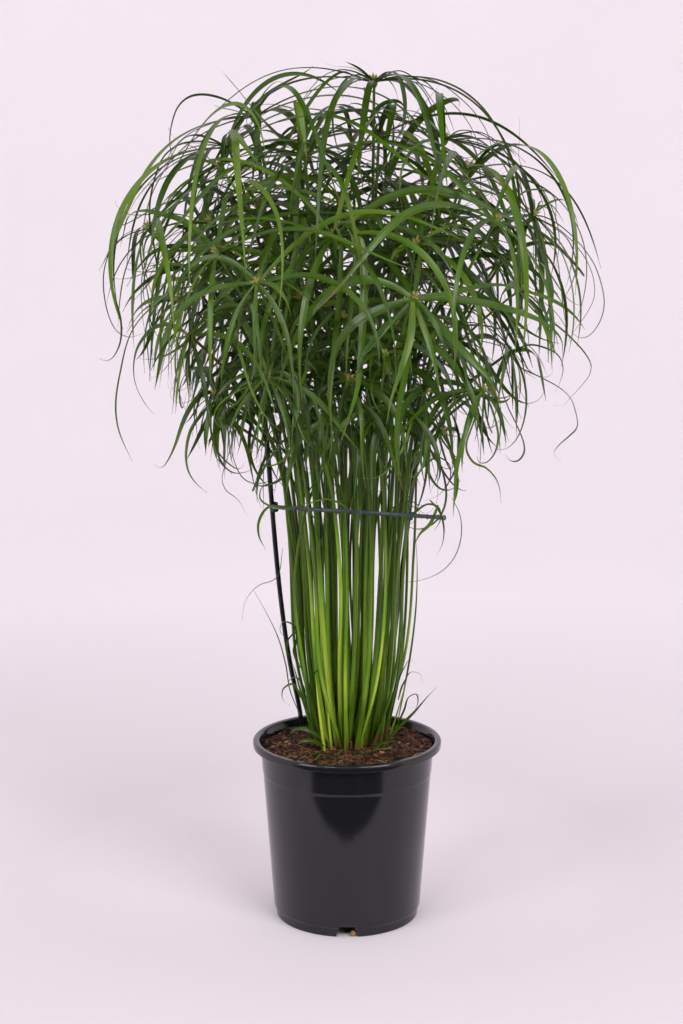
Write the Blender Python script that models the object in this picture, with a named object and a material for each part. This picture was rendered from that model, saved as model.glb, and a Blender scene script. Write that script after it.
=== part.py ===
"""Potted umbrella sedge: a black nursery pot of soil, a clump of stems that each carry a
crown of drooping leaf blades, and a hoop on two canes that keeps the clump upright.

Metres, +Z up. The origin is on the ground, on the axis of the pot. -Y is the front.
Run it with: blender --background --python part.py
"""

import math
import random

import bmesh
import bpy
from mathutils import Matrix, Vector

GAP = 0.0003  # left between pieces that touch

# The pot, a moulded tub with a down-turned lip
POT_SIDES = 36
POT_HEIGHT = 0.2296
LIP_RADIUS = 0.1200
LIP_DEPTH = 0.0088
LIP_SKIN = 0.0022
COLLAR_RADIUS = 0.1104  # just under the lip
COLLAR_FOOT = 0.0405  # from the top of the pot down to the collar's lower edge
COLLAR_STEP = 0.0018
WALL_TOP_RADIUS = 0.1068
WALL_FOOT_RADIUS = 0.0940
WALL_SKIN = 0.0018
FOOT_RADIUS = 0.0912
FOOT_HEIGHT = 0.0100
FLOOR_HEIGHT = 0.0145  # underside of the pot's floor
NOTCH_HEIGHT = 0.0138
NOTCH_WIDTH = 0.0280
NOTCH_TOP_WIDTH = 0.0186
DRAIN_RADIUS = 0.0060
DRAIN_CIRCLE = 0.0620

# The soil, filled to just under the lip
SOIL_LEVEL = 0.2195
SOIL_LUMP = 0.0022
SOIL_RINGS = (0.36, 0.70)  # shares of the radius

# The clump of stems
CLUMP = Vector((0.004, 0.027))  # middle of the clump where it leaves the soil
CLUMP_RADIUS = 0.046
CLUMP_DEPTH = 0.82  # front to back, over its width
PLANTED = 0.030  # depth of a stem in the soil
STEM_RADIUS = 0.0029
STEM_TIP_RADIUS = 0.0017
STEM_BEND = 0.018  # length over which a stem turns into its crown
HUB_RADIUS = 0.0052
HUB_HEIGHT = 0.0040
HUB_ROOM = 0.0130  # kept clear of other stems round a hub
HELD = Vector((0.000, 0.018))  # middle of the stems where the hoop holds them
HELD_RADIUS = 0.080
ARCH = 1.6  # how late a stem leans out above the hoop
CLEARINGS = (  # two corners of each room that the stems leave free
    ((-0.046, -0.009, 0.490), (0.017, 0.079, 0.546)),  # in the clump, inside the hoop
    ((-0.070, -0.076, 0.223), (0.070, -0.015, 0.236)),  # over the soil, in front of the clump
)
CLEAR_BY = 0.0020

# The hoop and its canes
HOOP_CENTRE = Vector((0.0150, 0.0150, 0.5180))
HOOP_RADIUS = 0.1075
HOOP_PITCH = math.radians(9.7)  # the front rides higher than the back
HOOP_ROLL = math.radians(3.6)  # and the left higher than the right
HOOP_BAND = (0.0032, 0.0050)  # thickness and height
HOOP_SIDES = 32
CANE_RADIUS = 0.0030
EYE_RADIUS = 0.0052
EYE_LENGTH = 0.0110
CANE_TOP = 0.680
CANES = (  # where each is held, as a direction from the hoop's middle, and its knots below that
    ("cane_left", 175, ((-0.056, 0.072, 0.140), (-0.0605, 0.080, 0.2315), (-0.074, 0.064, 0.311))),
    ("cane_right", 52, ((0.046, 0.050, 0.140), (0.050, 0.056, 0.2315), (0.0605, 0.070, 0.332))),
)

# Where each stem ends in its crown: x, y, z, then how far the crown nods outwards
CROWNS = (
    (0.032, 0.000, 1.044, 0.00),
    (0.073, -0.200, 0.796, 0.45),
    (-0.017, -0.160, 0.862, 0.20),
    (-0.050, -0.080, 0.955, 0.10),
    (0.012, -0.050, 0.884, 0.15),
    (-0.114, 0.020, 1.004, 0.05),
    (-0.141, -0.040, 0.966, 0.05),
    (-0.240, 0.000, 0.870, 0.00),
    (-0.149, -0.140, 0.843, 0.10),
    (-0.100, -0.205, 0.812, 0.10),
    (-0.185, -0.085, 0.745, 0.20),
    (-0.150, 0.050, 0.630, 0.30),
    (0.119, 0.020, 0.977, 0.05),
    (0.140, -0.060, 0.940, 0.05),
    (0.150, 0.095, 0.930, 0.00),
    (0.170, -0.120, 0.880, 0.10),
    (0.040, 0.085, 0.985, 0.00),
    (0.225, 0.000, 0.885, 0.00),
    (0.205, 0.060, 0.715, 0.20),
    (0.160, -0.075, 0.680, 0.25),
    (-0.090, -0.150, 0.703, 0.25),
    (-0.060, 0.165, 0.930, 0.00),
    (0.080, 0.200, 0.880, 0.00),
    (-0.180, 0.130, 0.850, 0.00),
    (0.195, 0.165, 0.820, 0.00),
    (-0.010, 0.235, 0.800, 0.00),
)

# The leaf blades of a crown
BLADES = 8
BLADE_LENGTH = (0.240, 0.370)
BLADE_WIDTH = (0.0065, 0.0105)
BLADE_RISE = (0.10, 0.60)  # slope of a blade where it leaves the hub
BLADE_LIMP = (4.5, 10.0)  # how fast gravity turns it, in radians a metre
BLADE_SWAY = 2.6  # how fast it turns sideways
BLADE_WANDER = 3.2  # how fast it swings from side to side
BLADE_CURL = (-12.0, 24.0)  # how fast its last half curls under or up
CURL_FROM = 0.50  # share of the length from which it curls
FRONT_CROWN = 2  # the crown whose wide star of blades faces the front
FRONT_BLADES = (  # width of each of its blades, then places on its way to the tip
    (0.0090, ((0.069, -0.224, 0.756), (0.058, -0.238, 0.720), (0.047, -0.243, 0.687),
              (0.042, -0.238, 0.655))),
    (0.0100, ((0.113, -0.226, 0.753), (0.139, -0.236, 0.727), (0.156, -0.236, 0.708),
              (0.167, -0.230, 0.683))),
    (0.0105, ((0.108, -0.196, 0.795), (0.142, -0.189, 0.791), (0.178, -0.182, 0.783),
              (0.217, -0.174, 0.769), (0.241, -0.165, 0.749), (0.245, -0.158, 0.726))),
    (0.0065, ((0.115, -0.180, 0.800), (0.150, -0.158, 0.807), (0.181, -0.140, 0.807),
              (0.205, -0.130, 0.795))),
    (0.0065, ((0.079, -0.174, 0.828), (0.083, -0.152, 0.851), (0.082, -0.132, 0.870))),
    (0.0080, ((0.056, -0.172, 0.823), (0.039, -0.148, 0.841), (0.019, -0.130, 0.842),
              (0.003, -0.118, 0.828))),
    (0.0110, ((0.047, -0.202, 0.810), (0.017, -0.204, 0.816), (-0.013, -0.208, 0.807),
              (-0.040, -0.214, 0.782), (-0.063, -0.218, 0.742), (-0.079, -0.216, 0.697))),
    (0.0105, ((0.035, -0.221, 0.784), (0.007, -0.234, 0.770), (-0.011, -0.241, 0.747),
              (-0.020, -0.243, 0.717), (-0.022, -0.240, 0.689))),
)
BLADE_STEPS = 24  # of the curve that a blade follows
BLADE_STATIONS = (0, 7, 13, 19, 24)
BLADE_SKIN = 0.0012
WIDEST = 0.35  # share of the length where a blade is widest
BARE = 0.012  # length next to the hub where neighbours crowd
BOOKED = 0.026  # length next to the hub that other crowns leave free
TRIES = 1500
STEM_SEED = 900
BLADE_SEED = 500

# The room that the crowns fill
ROOM_CENTRE = Vector((0.006, 0.000))
ROOM_RADIUS = 0.309
ROOM_WAIST = 0.820  # height where it is widest
ROOM_TOP = 1.066
ROOM_FOOT = 0.440
ROOM_SAG = 1.35  # how full the room stays below its waist

# Sampling of the pieces, so that none grows into another
SAMPLE = 0.0024
SPACE = 0.0018
CELL = 0.022


def material(name, colour, roughness, metallic=0.0):
    made = bpy.data.materials.new(name)
    made.use_nodes = True
    shader = made.node_tree.nodes["Principled BSDF"]
    shader.inputs["Base Color"].default_value = (*colour, 1.0)
    shader.inputs["Roughness"].default_value = roughness
    shader.inputs["Metallic"].default_value = metallic
    return made


def place(name, bm, finish, smooth=False):
    """Turns a closed bmesh into a named object whose normals face out."""
    bmesh.ops.remove_doubles(bm, verts=bm.verts[:], dist=1e-6)
    bmesh.ops.recalc_face_normals(bm, faces=bm.faces[:])
    mesh = bpy.data.meshes.new(name)
    bm.to_mesh(mesh)
    bm.free()
    if smooth:
        mesh.shade_smooth()
        mesh.set_sharp_from_angle(angle=math.radians(35))
    mesh.materials.append(finish)
    obj = bpy.data.objects.new(name, mesh)
    bpy.context.scene.collection.objects.link(obj)
    return obj


def shape(obj, tool, operation="DIFFERENCE"):
    """Cuts a tool from obj or joins it on, and leaves the tool itself out of the model."""
    modifier = obj.modifiers.new(tool.name, "BOOLEAN")
    modifier.operation = operation
    modifier.solver = "EXACT"
    modifier.object = tool
    tool.hide_render = True
    tool.display_type = "WIRE"


def turned(profile, sides, closed=False):
    """A bmesh of (radius, height) points turned round the Z axis."""
    bm = bmesh.new()
    points = [bm.verts.new((radius, 0.0, height)) for radius, height in profile]
    edges = [bm.edges.new(pair) for pair in zip(points, points[1:])]
    if closed:
        edges.append(bm.edges.new((points[-1], points[0])))
    bmesh.ops.spin(
        bm, geom=points + edges, cent=(0, 0, 0), axis=(0, 0, 1),
        angle=math.tau, steps=sides, use_merge=True,
    )
    bmesh.ops.remove_doubles(bm, verts=bm.verts[:], dist=1e-6)
    return bm


def rod(name, start, end, radius, sides, finish):
    """A straight round bar between two points."""
    bm = bmesh.new()
    along = end - start
    turn = along.to_track_quat("Z", "Y").to_matrix().to_4x4()
    bmesh.ops.create_cone(
        bm, cap_ends=True, segments=sides, radius1=radius, radius2=radius,
        depth=along.length, matrix=Matrix.Translation((start + end) / 2) @ turn,
    )
    return place(name, bm, finish, smooth=True)


def inner_radius(height):
    """Radius of the pot's inside at a height between its floor and its collar."""
    share = (height - FOOT_HEIGHT) / (POT_HEIGHT - COLLAR_FOOT - FOOT_HEIGHT)
    return WALL_FOOT_RADIUS + share * (WALL_TOP_RADIUS - WALL_FOOT_RADIUS) - WALL_SKIN


def pot_profile():
    """From the middle of the floor's underside up the outside, and back down the inside."""
    collar_foot = POT_HEIGHT - COLLAR_FOOT
    lip_foot = POT_HEIGHT - LIP_DEPTH
    lip_under = POT_HEIGHT - 2 * LIP_SKIN
    inside_collar = COLLAR_RADIUS - WALL_SKIN
    return [
        (0.0, FLOOR_HEIGHT),
        (FOOT_RADIUS - WALL_SKIN, FLOOR_HEIGHT),
        (FOOT_RADIUS - WALL_SKIN, 0.0),
        (FOOT_RADIUS, 0.0),
        (FOOT_RADIUS + 0.0006, FOOT_HEIGHT),
        (WALL_FOOT_RADIUS, FOOT_HEIGHT + 0.0025),
        (WALL_TOP_RADIUS, collar_foot - 0.0070),
        (WALL_TOP_RADIUS + COLLAR_STEP, collar_foot),
        (COLLAR_RADIUS, lip_under),
        (LIP_RADIUS - LIP_SKIN, lip_under),
        (LIP_RADIUS - LIP_SKIN, lip_foot),
        (LIP_RADIUS - 0.0008, lip_foot),
        (LIP_RADIUS, lip_foot + 0.0030),
        (LIP_RADIUS, POT_HEIGHT - 0.0040),
        (LIP_RADIUS - 0.0014, POT_HEIGHT - 0.0009),
        (LIP_RADIUS - 0.0036, POT_HEIGHT),
        (inside_collar + 0.0040, POT_HEIGHT - 0.0008),
        (inside_collar, POT_HEIGHT - 0.0050),
        (WALL_TOP_RADIUS + COLLAR_STEP - WALL_SKIN, collar_foot),
        (inner_radius(collar_foot), collar_foot - 0.0070),
        (inner_radius(FLOOR_HEIGHT + WALL_SKIN), FLOOR_HEIGHT + WALL_SKIN),
        (0.0, FLOOR_HEIGHT + WALL_SKIN),
    ]


def notch_tool(angle, finish):
    """A bar of the notch's shape that passes right through the foot."""
    bm = bmesh.new()
    low = -0.010
    spread = (NOTCH_WIDTH - NOTCH_TOP_WIDTH) * (NOTCH_HEIGHT - low) / NOTCH_HEIGHT
    outline = [
        (-(NOTCH_TOP_WIDTH + spread) / 2, low),
        ((NOTCH_TOP_WIDTH + spread) / 2, low),
        (NOTCH_TOP_WIDTH / 2, NOTCH_HEIGHT),
        (-NOTCH_TOP_WIDTH / 2, NOTCH_HEIGHT),
    ]
    face = bm.faces.new([bm.verts.new((-LIP_RADIUS, y, z)) for y, z in outline])
    swept = bmesh.ops.extrude_face_region(bm, geom=[face])["geom"]
    moved = [v for v in swept if isinstance(v, bmesh.types.BMVert)]
    bmesh.ops.translate(bm, verts=moved, vec=(2 * LIP_RADIUS, 0, 0))
    turn = Matrix.Rotation(angle, 3, "Z")
    bmesh.ops.rotate(bm, verts=bm.verts[:], cent=(0, 0, 0), matrix=turn)
    return place(f"notch_tool_{round(math.degrees(angle))}", bm, finish)


def build_pot(finish):
    pot = place("pot", turned(pot_profile(), POT_SIDES), finish, smooth=True)
    for angle in (0.0, math.pi / 2):
        shape(pot, notch_tool(angle, finish))
    for step in range(4):
        angle = math.radians(45 + 90 * step)
        middle = Vector((math.cos(angle), math.sin(angle), 0)) * DRAIN_CIRCLE
        low = middle + Vector((0, 0, FLOOR_HEIGHT - 0.01))
        high = middle + Vector((0, 0, FLOOR_HEIGHT + 0.01))
        shape(pot, rod(f"drain_tool_{step}", low, high, DRAIN_RADIUS, 8, finish))


def soil_height(x, y):
    """Height of the soil's surface, which is lumpy and banks up to the right."""
    lumps = math.sin(70 * x + 1.3) * math.cos(83 * y - 0.4)
    lumps += 0.6 * math.sin(141 * x - 97 * y)
    return SOIL_LEVEL + SOIL_LUMP * (0.55 * lumps + 8.0 * x)


def build_soil(stems, canes, finish):
    """The soil fills the pot, with a socket for each stem and cane."""
    floor = FLOOR_HEIGHT + WALL_SKIN + GAP
    collar_foot = POT_HEIGHT - COLLAR_FOOT
    rim = COLLAR_RADIUS - WALL_SKIN - 0.0010
    side = [
        (inner_radius(floor) - GAP, floor),
        (inner_radius(collar_foot) - GAP, collar_foot - 0.0070),
        (rim, SOIL_LEVEL - 0.0020),
    ]
    surface = [(rim * share, SOIL_LEVEL) for share in reversed(SOIL_RINGS)]
    bm = turned([(0.0, floor), *side, *surface, (0.0, SOIL_LEVEL)], POT_SIDES)
    for vert in bm.verts:
        if vert.co.z > SOIL_LEVEL - 1e-5:
            vert.co.z = soil_height(vert.co.x, vert.co.y)
    soil = place("soil", bm, finish)
    planted = [(course[0], course[1], STEM_RADIUS) for course in stems]
    planted += [(course[0], course[1], CANE_RADIUS) for course in canes]
    for number, (low, high, radius) in enumerate(planted):
        along = (high - low).normalized()
        fit = (radius + GAP) / math.cos(math.pi / 6)
        shape(soil, rod(f"socket_tool_{number}", low - along * GAP, high, fit, 6, finish))


class Thicket:
    """Remembers where pieces are, so that the next one can grow clear of them."""

    def __init__(self):
        self.cells = {}

    def add(self, samples, owner):
        for point, radius in samples:
            key = tuple(math.floor(value / CELL) for value in point)
            self.cells.setdefault(key, []).append((point, radius, owner))

    def near(self, point):
        i, j, k = (math.floor(value / CELL) for value in point)
        for a in (i - 1, i, i + 1):
            for b in (j - 1, j, j + 1):
                for c in (k - 1, k, k + 1):
                    yield from self.cells.get((a, b, c), ())

    def is_clear(self, samples, owner):
        for point, radius in samples:
            for other, width, whose in self.near(point):
                if whose != owner and (point - other).length < radius + width + SPACE:
                    return False
        return True


def sampled(stations):
    """Evenly spaced (point, radius) samples along a chain of such stations."""
    found = []
    for (start, thick), (end, thin) in zip(stations, stations[1:]):
        count = max(1, math.ceil((end - start).length / SAMPLE))
        for step in range(count):
            share = step / count
            found.append((start.lerp(end, share), thick + (thin - thick) * share))
    return found + [stations[-1]]


def stem_course(base, hold, tip, nod):
    """Stations of a stem from under the soil to its hub, and the way the hub faces."""
    start = Vector((base.x, base.y, SOIL_LEVEL))
    lean = Vector((tip.x - CLUMP.x, tip.y - CLUMP.y, 0))
    rise = tip.z - SOIL_LEVEL
    at_hoop = (HOOP_CENTRE.z - SOIL_LEVEL) / rise

    def at(share):
        if share < at_hoop:
            spot = base.lerp(hold, 1 - (1 - share / at_hoop) ** 2)
        else:
            spot = hold.lerp(tip.xy, ((share - at_hoop) / (1 - at_hoop)) ** ARCH)
        return Vector((spot.x, spot.y, SOIL_LEVEL + rise * share))

    axis = (at(1.0) - at(0.93)).normalized()
    axis = (axis + lean.normalized() * nod).normalized()
    top = tip - axis * (HUB_HEIGHT / 2 + GAP)
    neck = top - axis * STEM_BEND
    shift = neck - at(1.0)
    first = (at(0.06) - at(0.0)).normalized()
    shares = (0.34 * at_hoop, 0.82 * at_hoop, 0.46 + 0.54 * at_hoop)
    middle = [at(share) + shift * share**3 for share in shares]
    return [start - first * PLANTED, *middle, neck, top], axis


def in_clearing(samples):
    """Whether a stem comes into a room that stays free."""
    for low, high in CLEARINGS:
        for point, radius in samples:
            out = Vector([max(a - p, p - b, 0.0) for a, p, b in zip(low, point, high)])
            if out.length < radius + CLEAR_BY:
                return True
    return False


def grow_stems(thicket):
    """Each stem in turn takes the first free place on its own side of the clump."""
    stems, axes = [], []
    for number, (x, y, z, nod) in enumerate(CROWNS):
        tip = Vector((x, y, z))
        lean = Vector((x, y)) - CLUMP
        aim = math.atan2(lean.y, lean.x)
        spread = min(1.0, math.sqrt(lean.length / 0.24))
        want = CLUMP_RADIUS * spread
        dice = random.Random(STEM_SEED + number)
        for attempt in range(TRIES):
            loose = attempt / TRIES
            angle = aim + dice.uniform(-1, 1) * (0.25 + 2.4 * loose)
            radius = min(CLUMP_RADIUS, want * (1 + dice.uniform(-1, 1) * (0.2 + loose)))
            base = CLUMP + Vector((math.cos(angle), math.sin(angle) * CLUMP_DEPTH)) * abs(radius)
            angle += dice.uniform(-1, 1) * (0.3 + 0.8 * loose)
            radius = HELD_RADIUS * min(1.0, spread * (1 + dice.uniform(-0.9, 0.4) * (0.2 + loose)))
            hold = HELD + Vector((math.cos(angle), math.sin(angle))) * radius
            course, axis = stem_course(base, hold, tip, nod)
            samples = sampled([(point, STEM_RADIUS + 0.0005) for point in course])
            if in_clearing(samples):
                continue
            if thicket.is_clear(samples + [(tip, HUB_ROOM)], ("stem", number)):
                break
        else:
            raise RuntimeError(f"stem {number + 1} has no free place in the clump")
        neck = round(STEM_BEND / SAMPLE)
        thicket.add(samples[:-neck], ("stem", number))
        thicket.add(samples[-neck:] + [(tip, HUB_ROOM)], ("crown", number))
        stems.append(course)
        axes.append(axis)
    return stems, axes


def blade_width(share):
    """Width of a blade at a share of its length, over its greatest width."""
    if share < WIDEST:
        return 0.45 + 0.55 * math.sin(share / WIDEST * math.pi / 2)
    return max(0.0, 1 - ((share - WIDEST) / (1 - WIDEST)) ** 1.7)


def blade_course(root, aim, length, bends):
    """Points of the curve that a blade follows as gravity pulls it over."""
    limp, sway, wander, swing, curl = bends
    points = [root]
    heading = aim.normalized()
    side = heading.orthogonal() if heading.z > 0.99 else heading.cross(Vector((0, 0, 1)))
    step = length / BLADE_STEPS
    down = Vector((0, 0, -1))
    for number in range(BLADE_STEPS):
        share = (number + 0.5) / BLADE_STEPS
        pull = down * limp * (0.35 + 1.9 * share) * step
        turn = sway * share + wander * share * math.sin(swing + 7 * share)
        heading = (heading + pull + heading.cross(down) * turn * step).normalized()
        side = (side - heading * side.dot(heading)).normalized()
        over = curl * max(0.0, share - CURL_FROM) / (1 - CURL_FROM) * step
        heading = Matrix.Rotation(over, 3, side) @ heading
        points.append(points[-1] + heading * step)
    return points


def blade_bends(dice, loose):
    """How a blade bends: limp, sway, wander, where its swing starts, and curl."""
    return (
        dice.uniform(*BLADE_LIMP) * (1 + 1.5 * loose),
        dice.uniform(-1, 1) * BLADE_SWAY * (1 + loose),
        dice.uniform(0, 1) * BLADE_WANDER,
        dice.uniform(0, math.tau),
        dice.uniform(*BLADE_CURL),
    )


def led_course(root, knots):
    """Evenly spaced points of a smooth curve from a root through some knots."""
    chain = [root, *(Vector(knot) for knot in knots)]
    chain = [2 * chain[0] - chain[1], *chain, 2 * chain[-1] - chain[-2]]
    fine = [root]
    for a, b, c, d in zip(chain, chain[1:], chain[2:], chain[3:]):
        for step in range(1, 21):
            t = step / 20
            bent = (2 * a - 5 * b + 4 * c - d) * t**2 + (3 * b - a - 3 * c + d) * t**3
            fine.append((2 * b + (c - a) * t + bent) / 2)
    reach = [0.0]
    for before, after in zip(fine, fine[1:]):
        reach.append(reach[-1] + (after - before).length)
    course, k = [], 0
    for number in range(BLADE_STEPS + 1):
        wanted = reach[-1] * number / BLADE_STEPS
        while k < len(fine) - 2 and reach[k + 1] < wanted:
            k += 1
        course.append(fine[k].lerp(fine[k + 1], (wanted - reach[k]) / (reach[k + 1] - reach[k])))
    return course


def in_room(point):
    """Whether a point lies in the egg-shaped room that the crowns fill."""
    end, power = (ROOM_TOP, 2) if point.z > ROOM_WAIST else (ROOM_FOOT, ROOM_SAG)
    share = (point.z - ROOM_WAIST) / (end - ROOM_WAIST)
    if share >= 1:
        return False
    reach = ROOM_RADIUS * (1 - share**power) ** (1 / power)
    return (Vector((point.x, point.y)) - ROOM_CENTRE).length <= reach


def stations_of(course, width):
    """(point, radius) pairs where a blade's solid has its corners."""
    return [
        (course[k], width / 2 * blade_width(k / BLADE_STEPS)) for k in BLADE_STATIONS
    ]


def blade_root(number, blade, axis):
    """Where a blade leaves its hub, and the way it leaves it."""
    facing = math.tau * (blade + 0.5) / BLADES
    out = Matrix.Rotation(facing, 3, axis) @ axis.orthogonal().normalized()
    return Vector(CROWNS[number][:3]) + out * HUB_RADIUS * math.cos(math.pi / BLADES), out


def grow_blade(number, blade, axis, dice, thicket):
    """One blade that stays in the room and clear of all that is there."""
    root, straight = blade_root(number, blade, axis)
    bare = math.ceil(BARE / SAMPLE)
    if number == FRONT_CROWN - 1:
        width, knots = FRONT_BLADES[blade]
        course = led_course(root, knots)
        samples = sampled(stations_of(course, width))
        if not thicket.is_clear(samples[bare:], ("crown", number)):
            raise RuntimeError(f"blade {blade + 1} of the front crown runs into something")
        thicket.add(samples[:bare], ("crown", number))
        thicket.add(samples[bare:], ("blade", number, blade))
        return course, width
    length = dice.uniform(*BLADE_LENGTH)
    width = dice.uniform(*BLADE_WIDTH)
    for attempt in range(TRIES):
        loose = attempt / TRIES
        out = Matrix.Rotation(dice.uniform(-0.13, 0.13), 3, axis) @ straight
        aim = out + axis * (dice.uniform(*BLADE_RISE) + dice.uniform(-0.8, 0.2) * loose)
        course = blade_course(root, aim, length * (1 - 0.85 * loose), blade_bends(dice, loose))
        stations = stations_of(course, width * (1 - 0.4 * loose))
        if not all(in_room(point) for point, _ in stations):
            continue
        samples = sampled(stations)
        if not thicket.is_clear(samples[bare:], ("crown", number)):
            continue
        thicket.add(samples[:bare], ("crown", number))
        thicket.add(samples[bare:], ("blade", number, blade))
        return course, width * (1 - 0.4 * loose)
    raise RuntimeError(f"crown {number + 1} has no room for blade {blade + 1}")


def grow_blades(axes, thicket):
    """The blades of each crown, as (course, greatest width) pairs."""
    slope = sum(BLADE_RISE) / 2
    for number, axis in enumerate(axes):
        for blade in range(BLADES):
            root, out = blade_root(number, blade, axis)
            end = root + (out + axis * slope).normalized() * BOOKED
            reach = [(root, BLADE_WIDTH[0] / 2), (end, BLADE_WIDTH[1] / 2)]
            thicket.add(sampled(reach), ("crown", number))
    crowns = {}
    for number in sorted(range(len(axes)), key=lambda number: number != FRONT_CROWN - 1):
        dice = random.Random(BLADE_SEED + number)
        crowns[number] = [
            grow_blade(number, blade, axes[number], dice, thicket) for blade in range(BLADES)
        ]
    return [crowns[number] for number in range(len(axes))]


def sweep(name, course, radii, resolution, finish):
    """A round bar that follows a chain of points."""
    data = bpy.data.curves.new(name, "CURVE")
    data.dimensions = "3D"
    data.bevel_depth = radii[0]
    data.bevel_resolution = resolution
    data.use_fill_caps = True
    line = data.splines.new("POLY")
    line.points.add(len(course) - 1)
    for knot, point, radius in zip(line.points, course, radii):
        knot.co = (*point, 1.0)
        knot.radius = radius / radii[0]
    data.materials.append(finish)
    obj = bpy.data.objects.new(name, data)
    bpy.context.scene.collection.objects.link(obj)
    return obj


def build_stem(number, course, finish):
    """A stem keeps its full thickness to its second station, then thins to its crown."""
    last = len(course) - 1
    radii = [
        STEM_RADIUS + (STEM_TIP_RADIUS - STEM_RADIUS) * max(0, k - 1) / (last - 1)
        for k in range(last + 1)
    ]
    sweep(f"stem_{number:02d}", course, radii, 1, finish)


def build_leaves(number, axis, blades, finish):
    """A flat hub whose every side is drawn out into one keeled leaf blade."""
    bm = bmesh.new()
    hub = Vector(CROWNS[number - 1][:3])
    across = axis.orthogonal().normalized() * HUB_RADIUS
    corners = [Matrix.Rotation(math.tau * k / BLADES, 3, axis) @ across for k in range(BLADES)]
    rise = axis * HUB_HEIGHT / 2
    upper = [bm.verts.new(hub + corner + rise) for corner in corners]
    lower = [bm.verts.new(hub + corner - rise) for corner in corners]
    bm.faces.new(upper)
    bm.faces.new(lower)
    for k, (course, width) in enumerate(blades):
        after = (k + 1) % BLADES
        side = (corners[after] - corners[k]).normalized()
        section = [upper[k], upper[after], lower[after], lower[k]]
        for station in BLADE_STATIONS[1:-1]:
            heading = (course[station + 1] - course[station - 1]).normalized()
            side = (side - heading * side.dot(heading)).normalized()
            half = side * width / 2 * blade_width(station / BLADE_STEPS)
            keel = heading.cross(side) * BLADE_SKIN
            middle = course[station]
            made = [bm.verts.new(p) for p in (middle - half, middle + half, middle - keel)]
            bm.faces.new((section[0], section[1], made[1], made[0]))
            bm.faces.new((section[1], section[2], made[2], made[1]))
            if len(section) == 4:
                bm.faces.new((section[2], section[3], made[2]))
            bm.faces.new((section[-1], section[0], made[0], made[2]))
            section = made
        tip = bm.verts.new(course[-1])
        for i in range(3):
            bm.faces.new((section[i], section[(i + 1) % 3], tip))
    place(f"leaves_{number:02d}", bm, finish)


def hoop_matrix():
    """The hoop's own frame, tipped to the back and to one side."""
    tilt = Matrix.Rotation(-HOOP_PITCH, 4, "X") @ Matrix.Rotation(HOOP_ROLL, 4, "Y")
    return Matrix.Translation(HOOP_CENTRE) @ tilt


def on_hoop(degrees):
    """A point of the hoop's centre line."""
    turn = math.radians(degrees)
    return hoop_matrix() @ (Vector((math.cos(turn), math.sin(turn), 0)) * HOOP_RADIUS)


def cane_course(degrees, knots):
    """Stations of a cane. From its last knot it runs straight through its eye."""
    course = [Vector(knot) for knot in knots]
    slope = on_hoop(degrees) - course[-1]
    return course + [course[-1] + slope * (CANE_TOP - course[-1].z) / slope.z]


def build_hoop(courses, finish):
    """A flat-sided hoop with a round eye at each cane."""
    thick, tall = HOOP_BAND
    corners = ((-1, -1), (1, -1), (1, 1), (-1, 1))
    section = [(HOOP_RADIUS + thick / 2 * a, tall / 2 * b) for a, b in corners]
    bm = turned(section, HOOP_SIDES, closed=True)
    bmesh.ops.transform(bm, matrix=hoop_matrix(), verts=bm.verts[:])
    hoop = place("support_hoop", bm, finish, smooth=True)
    tools = []
    for (name, degrees, _), course in zip(CANES, courses):
        eye = on_hoop(degrees)
        along = (course[-1] - course[-2]).normalized() * EYE_LENGTH / 2
        fit = (CANE_RADIUS + GAP) / math.cos(math.pi / 10)
        shape(hoop, rod(f"{name}_eye", eye - along, eye + along, EYE_RADIUS, 10, finish), "UNION")
        tools.append(rod(f"{name}_bore", eye - along * 2, eye + along * 2, fit, 10, finish))
    for tool in tools:
        shape(hoop, tool)


def main():
    for obj in list(bpy.data.objects):
        bpy.data.objects.remove(obj)
    black = material("pot_plastic", (0.018, 0.018, 0.021), 0.35)
    earth = material("potting_soil", (0.070, 0.030, 0.018), 0.95)
    stalk = material("stem_green", (0.130, 0.260, 0.030), 0.45)
    leaf = material("leaf_green", (0.045, 0.130, 0.018), 0.42)
    coated = material("cane_coating", (0.012, 0.014, 0.020), 0.40)
    band = material("hoop_plastic", (0.016, 0.030, 0.028), 0.45)

    build_pot(black)
    thicket = Thicket()
    canes = [cane_course(degrees, knots) for _, degrees, knots in CANES]
    for (name, _, _), course in zip(CANES, canes):
        sweep(name, course, [CANE_RADIUS] * len(course), 2, coated)
        thicket.add(sampled([(point, CANE_RADIUS) for point in course]), name)
    build_hoop(canes, band)
    thicket.add([(on_hoop(3 * k), EYE_RADIUS) for k in range(120)], "support_hoop")

    stems, axes = grow_stems(thicket)
    crowns = grow_blades(axes, thicket)
    for number, course in enumerate(stems, 1):
        build_stem(number, course, stalk)
    for number, (axis, blades) in enumerate(zip(axes, crowns), 1):
        build_leaves(number, axis, blades, leaf)
    build_soil(stems, canes, earth)


main()
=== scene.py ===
# %% [markdown]
# # A potted umbrella sedge
# The real plant is a clump of some seventy thin stems in a black nursery pot. Every stem ends
# in a wheel of long narrow leaf blades that arch over and hang, so that the whole looks like
# a fountain. A plastic hoop on two canes keeps the clump upright.
# Its solids are already made, at their real size, with fewer stems and with faceted blades.
# This lesson loads them as a fixed frame and dresses them. Each piece made here stands where
# its solid stands, so the first thing to do is to load the frame and note the box it fills.

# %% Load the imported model
import math
import random

import bmesh
import bpy
import numpy as np
from mathutils import Matrix, Vector, kdtree, noise


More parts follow.
